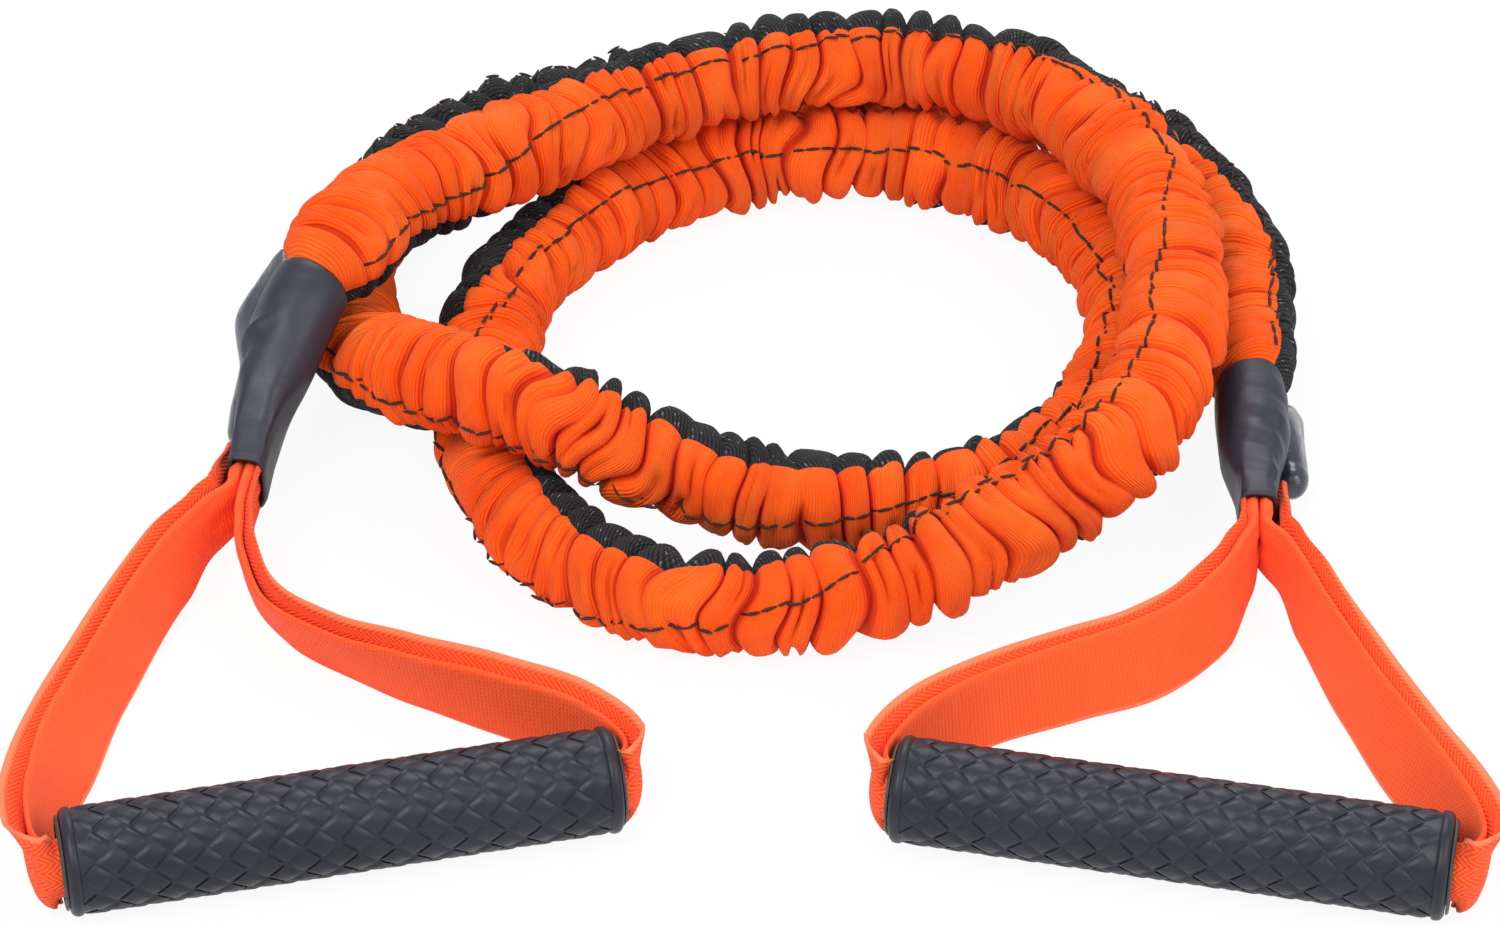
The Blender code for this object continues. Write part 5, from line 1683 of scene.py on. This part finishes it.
class TUBE_OT_sleeve(bpy.types.Operator):
    """Gather the two-coloured sleeve along the coil and sew its stitch row"""
    bl_idname = "tube.sleeve"
    bl_label = "Sleeve and Stitching"

    def execute(self, context):
        looks = context.scene.tube_sleeve
        sleeve = build_sleeve(looks)
        stitches = build_stitches(looks, context.scene.tube_stitches)
        for piece in (sleeve, stitches):
            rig.ride(piece, "tube")
            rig.slot(piece, "sleeve")
        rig.replaces(sleeve, "sleeve")
        dress(["elastic_tube"], natural_latex(context.scene.tube_fittings))
        route = sleeve_frame(np.linspace(0.0, SLEEVE_LENGTH, ROUTE_POINTS))[0]
        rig.cord(sleeve, exit=route[0], length=1.81, diameter=2.0 * SLEEVE_CREST_RADIUS, far_end="object",
                stiffness="limp", lay="coiled", path=route, with_pieces=[stitches, CAD_NODES["elastic_tube"]])
        return {"FINISHED"}


class TUBE_OT_covers(bpy.types.Operator):
    """Shrink the covers over both ends of the sleeve and over the tube's folded tails"""
    bl_idname = "tube.covers"
    bl_label = "Covers"

    def execute(self, context):
        looks = context.scene.tube_covers
        for end in (LEFT, RIGHT):
            build_cover(end, looks)
            build_tail(end, looks)
        return {"FINISHED"}


class TUBE_OT_webbing(bpy.types.Operator):
    """Lay both plies of each handle's webbing from the neck round through the grip"""
    bl_idname = "tube.webbing"
    bl_label = "Webbing"

    def execute(self, context):
        for end in (LEFT, RIGHT):
            build_straps(end, context.scene.tube_webbing)
        return {"FINISHED"}


class TUBE_OT_grips(bpy.types.Operator):
    """Mould both grips with their beads and raised weave"""
    bl_idname = "tube.grips"
    bl_label = "Grips"

    def execute(self, context):
        for end in (LEFT, RIGHT):
            build_grip(end, context.scene.tube_grips)
        return {"FINISHED"}


class TUBE_OT_fittings(bpy.types.Operator):
    """Give the inner fittings their materials"""
    bl_idname = "tube.fittings"
    bl_label = "Fittings"

    def execute(self, context):
        looks = context.scene.tube_fittings
        latex = bpy.data.materials["natural_latex"]
        steel = crimped_steel(looks)
        core = moulded_plastic("core_plastic", looks.core, roughness=0.45)
        stopper = moulded_plastic("stopper_plastic", looks.stopper, roughness=0.4)
        for side in ("left", "right"):
            dress([side + "_tube_tail"], latex)
            dress([side + "_clamp"], steel)
            dress([side + "_stopper"], stopper)
            dress([side + "_grip_core", side + "_bush_a", side + "_bush_b"], core)
        return {"FINISHED"}


class TUBE_PT_looks(bpy.types.Panel):
    """Lists the pieces that can be built"""
    bl_idname = "TUBE_PT_looks"
    bl_label = "Resistance Tube"
    bl_space_type = "VIEW_3D"
    bl_region_type = "UI"
    bl_category = "Tube"

    def draw(self, context):
        for operator in OPERATORS:
            self.layout.operator(operator.bl_idname)
        for name, group in SETTINGS:
            box = self.layout.box()
            box.label(text=group.__doc__)
            for key in group.__annotations__:
                box.prop(getattr(context.scene, name), key)


# Stage

def build_stage(looks):
    scene = bpy.context.scene
    scene.view_settings.view_transform = "Standard"
    lift = math.radians(looks.elevation)
    target = Vector((COIL_MIDDLE.x, COIL_MIDDLE.y - TARGET_SET_BACK, TARGET_HEIGHT))
    camera_data = bpy.data.cameras.new("photo_camera")
    camera_data.lens = looks.lens
    camera_data.sensor_width = FRAME_WIDTH
    camera_data.clip_start = NEAREST_SEEN
    camera = bpy.data.objects.new("photo_camera", camera_data)
    camera.location = target + Vector((0.0, -math.cos(lift), math.sin(lift))) * looks.distance
    camera.rotation_euler = (0.5 * math.pi - lift, 0.0, 0.0)
    scene.collection.objects.link(camera)
    scene.camera = camera
    for name, place, power in LAMPS:
        add_lamp(name, place, target, power)
    build_world(scene)
    bm = bmesh.new()
    bmesh.ops.create_grid(bm, x_segments=1, y_segments=1, size=FLOOR_SIZE)
    mesh = bpy.data.meshes.new("floor")
    bm.to_mesh(mesh)
    bm.free()
    floor = add_piece("floor", mesh, floor_paint(looks))
    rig.stage(floor)


def add_lamp(name, place, target, power):
    lamp = bpy.data.lights.new(name, "AREA")
    lamp.shape = "DISK"
    lamp.size = LAMP_SIZE
    lamp.energy = power
    obj = bpy.data.objects.new(name, lamp)
    obj.location = place
    obj.rotation_euler = (target - obj.location).to_track_quat("-Z", "Y").to_euler()
    bpy.context.scene.collection.objects.link(obj)


def build_world(scene):
    """Even pale light. The camera sees a background of its own in the node's default colour."""
    world = bpy.data.worlds.new("studio")
    world.use_nodes = True
    nodes = Nodes(world.node_tree)
    lit = world.node_tree.nodes["Background"]
    lit.inputs["Color"].default_value = WORLD_COLOUR
    lit.inputs["Strength"].default_value = WORLD_LIGHT
    seen = nodes.made("ShaderNodeBackground", {"Strength": 1.0})
    path = nodes.add("ShaderNodeLightPath")
    mix = nodes.made("ShaderNodeMixShader", {0: path.outputs["Is Camera Ray"], 1: lit.outputs[0], 2: seen})
    nodes.feed(world.node_tree.nodes["World Output"].inputs[0], mix)
    scene.world = world


def floor_paint(looks):
    """Pale floor that the camera and reflections see close to white, with soft shadows left in."""
    maker = Maker("floor_paint", 0.9, Specular_IOR_Level=0.1)
    cloudy = maker.noise(maker.place(), scale=3.0, detail=2.0)
    colour = maker.blend(cloudy, looks.floor, [min(1.0, part + FLOOR_PATCHES) for part in looks.floor])
    grain = maker.noise(maker.place(), scale=900.0, detail=2.0)
    maker.finish(colour, maker.bump(grain, distance=0.00005, strength=0.3))
    glow = maker.made("ShaderNodeEmission", {"Color": WHITE, "Strength": 1.0})
    path = maker.add("ShaderNodeLightPath")
    seen = maker.maths("MAXIMUM", path.outputs["Is Camera Ray"], path.outputs["Is Glossy Ray"])
    seen = maker.maths("MAXIMUM", seen, path.outputs["Is Transmission Ray"])
    share = maker.maths("MULTIPLY", seen, FLOOR_GLOW)
    mix = maker.made("ShaderNodeMixShader", {0: share, 1: maker.shader.outputs[0], 2: glow})
    maker.feed(maker.tree.nodes["Material Output"].inputs[0], mix)
    return maker.material


OPERATORS = (TUBE_OT_stage, TUBE_OT_sleeve, TUBE_OT_covers, TUBE_OT_webbing, TUBE_OT_grips, TUBE_OT_fittings)
SETTINGS = (("tube_stage", StageLooks), ("tube_sleeve", SleeveLooks), ("tube_stitches", StitchLooks),
            ("tube_covers", CoverLooks), ("tube_webbing", WebbingLooks), ("tube_grips", GripLooks),
            ("tube_fittings", FittingLooks))


def register():
    for name, group in SETTINGS:
        bpy.utils.register_class(group)
        setattr(bpy.types.Scene, name, bpy.props.PointerProperty(type=group))
    for cls in (*OPERATORS, TUBE_PT_looks):
        bpy.utils.register_class(cls)


def unregister():
    for cls in reversed((*OPERATORS, TUBE_PT_looks)):
        bpy.utils.unregister_class(cls)
    for name, group in reversed(SETTINGS):
        delattr(bpy.types.Scene, name)
        bpy.utils.unregister_class(group)


def main():
    register()
    bpy.ops.tube.stage()
    bpy.ops.tube.sleeve()
    bpy.ops.tube.covers()
    bpy.ops.tube.webbing()
    bpy.ops.tube.grips()
    bpy.ops.tube.fittings()
    looks_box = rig.bounds()
    with open(SIZE_FILE, "w") as file:
        json.dump({"cad": [list(corner) for corner in CAD_BOX],
                   "looks": [list(corner) for corner in looks_box]}, file)


if __name__ == "__main__":
    main()
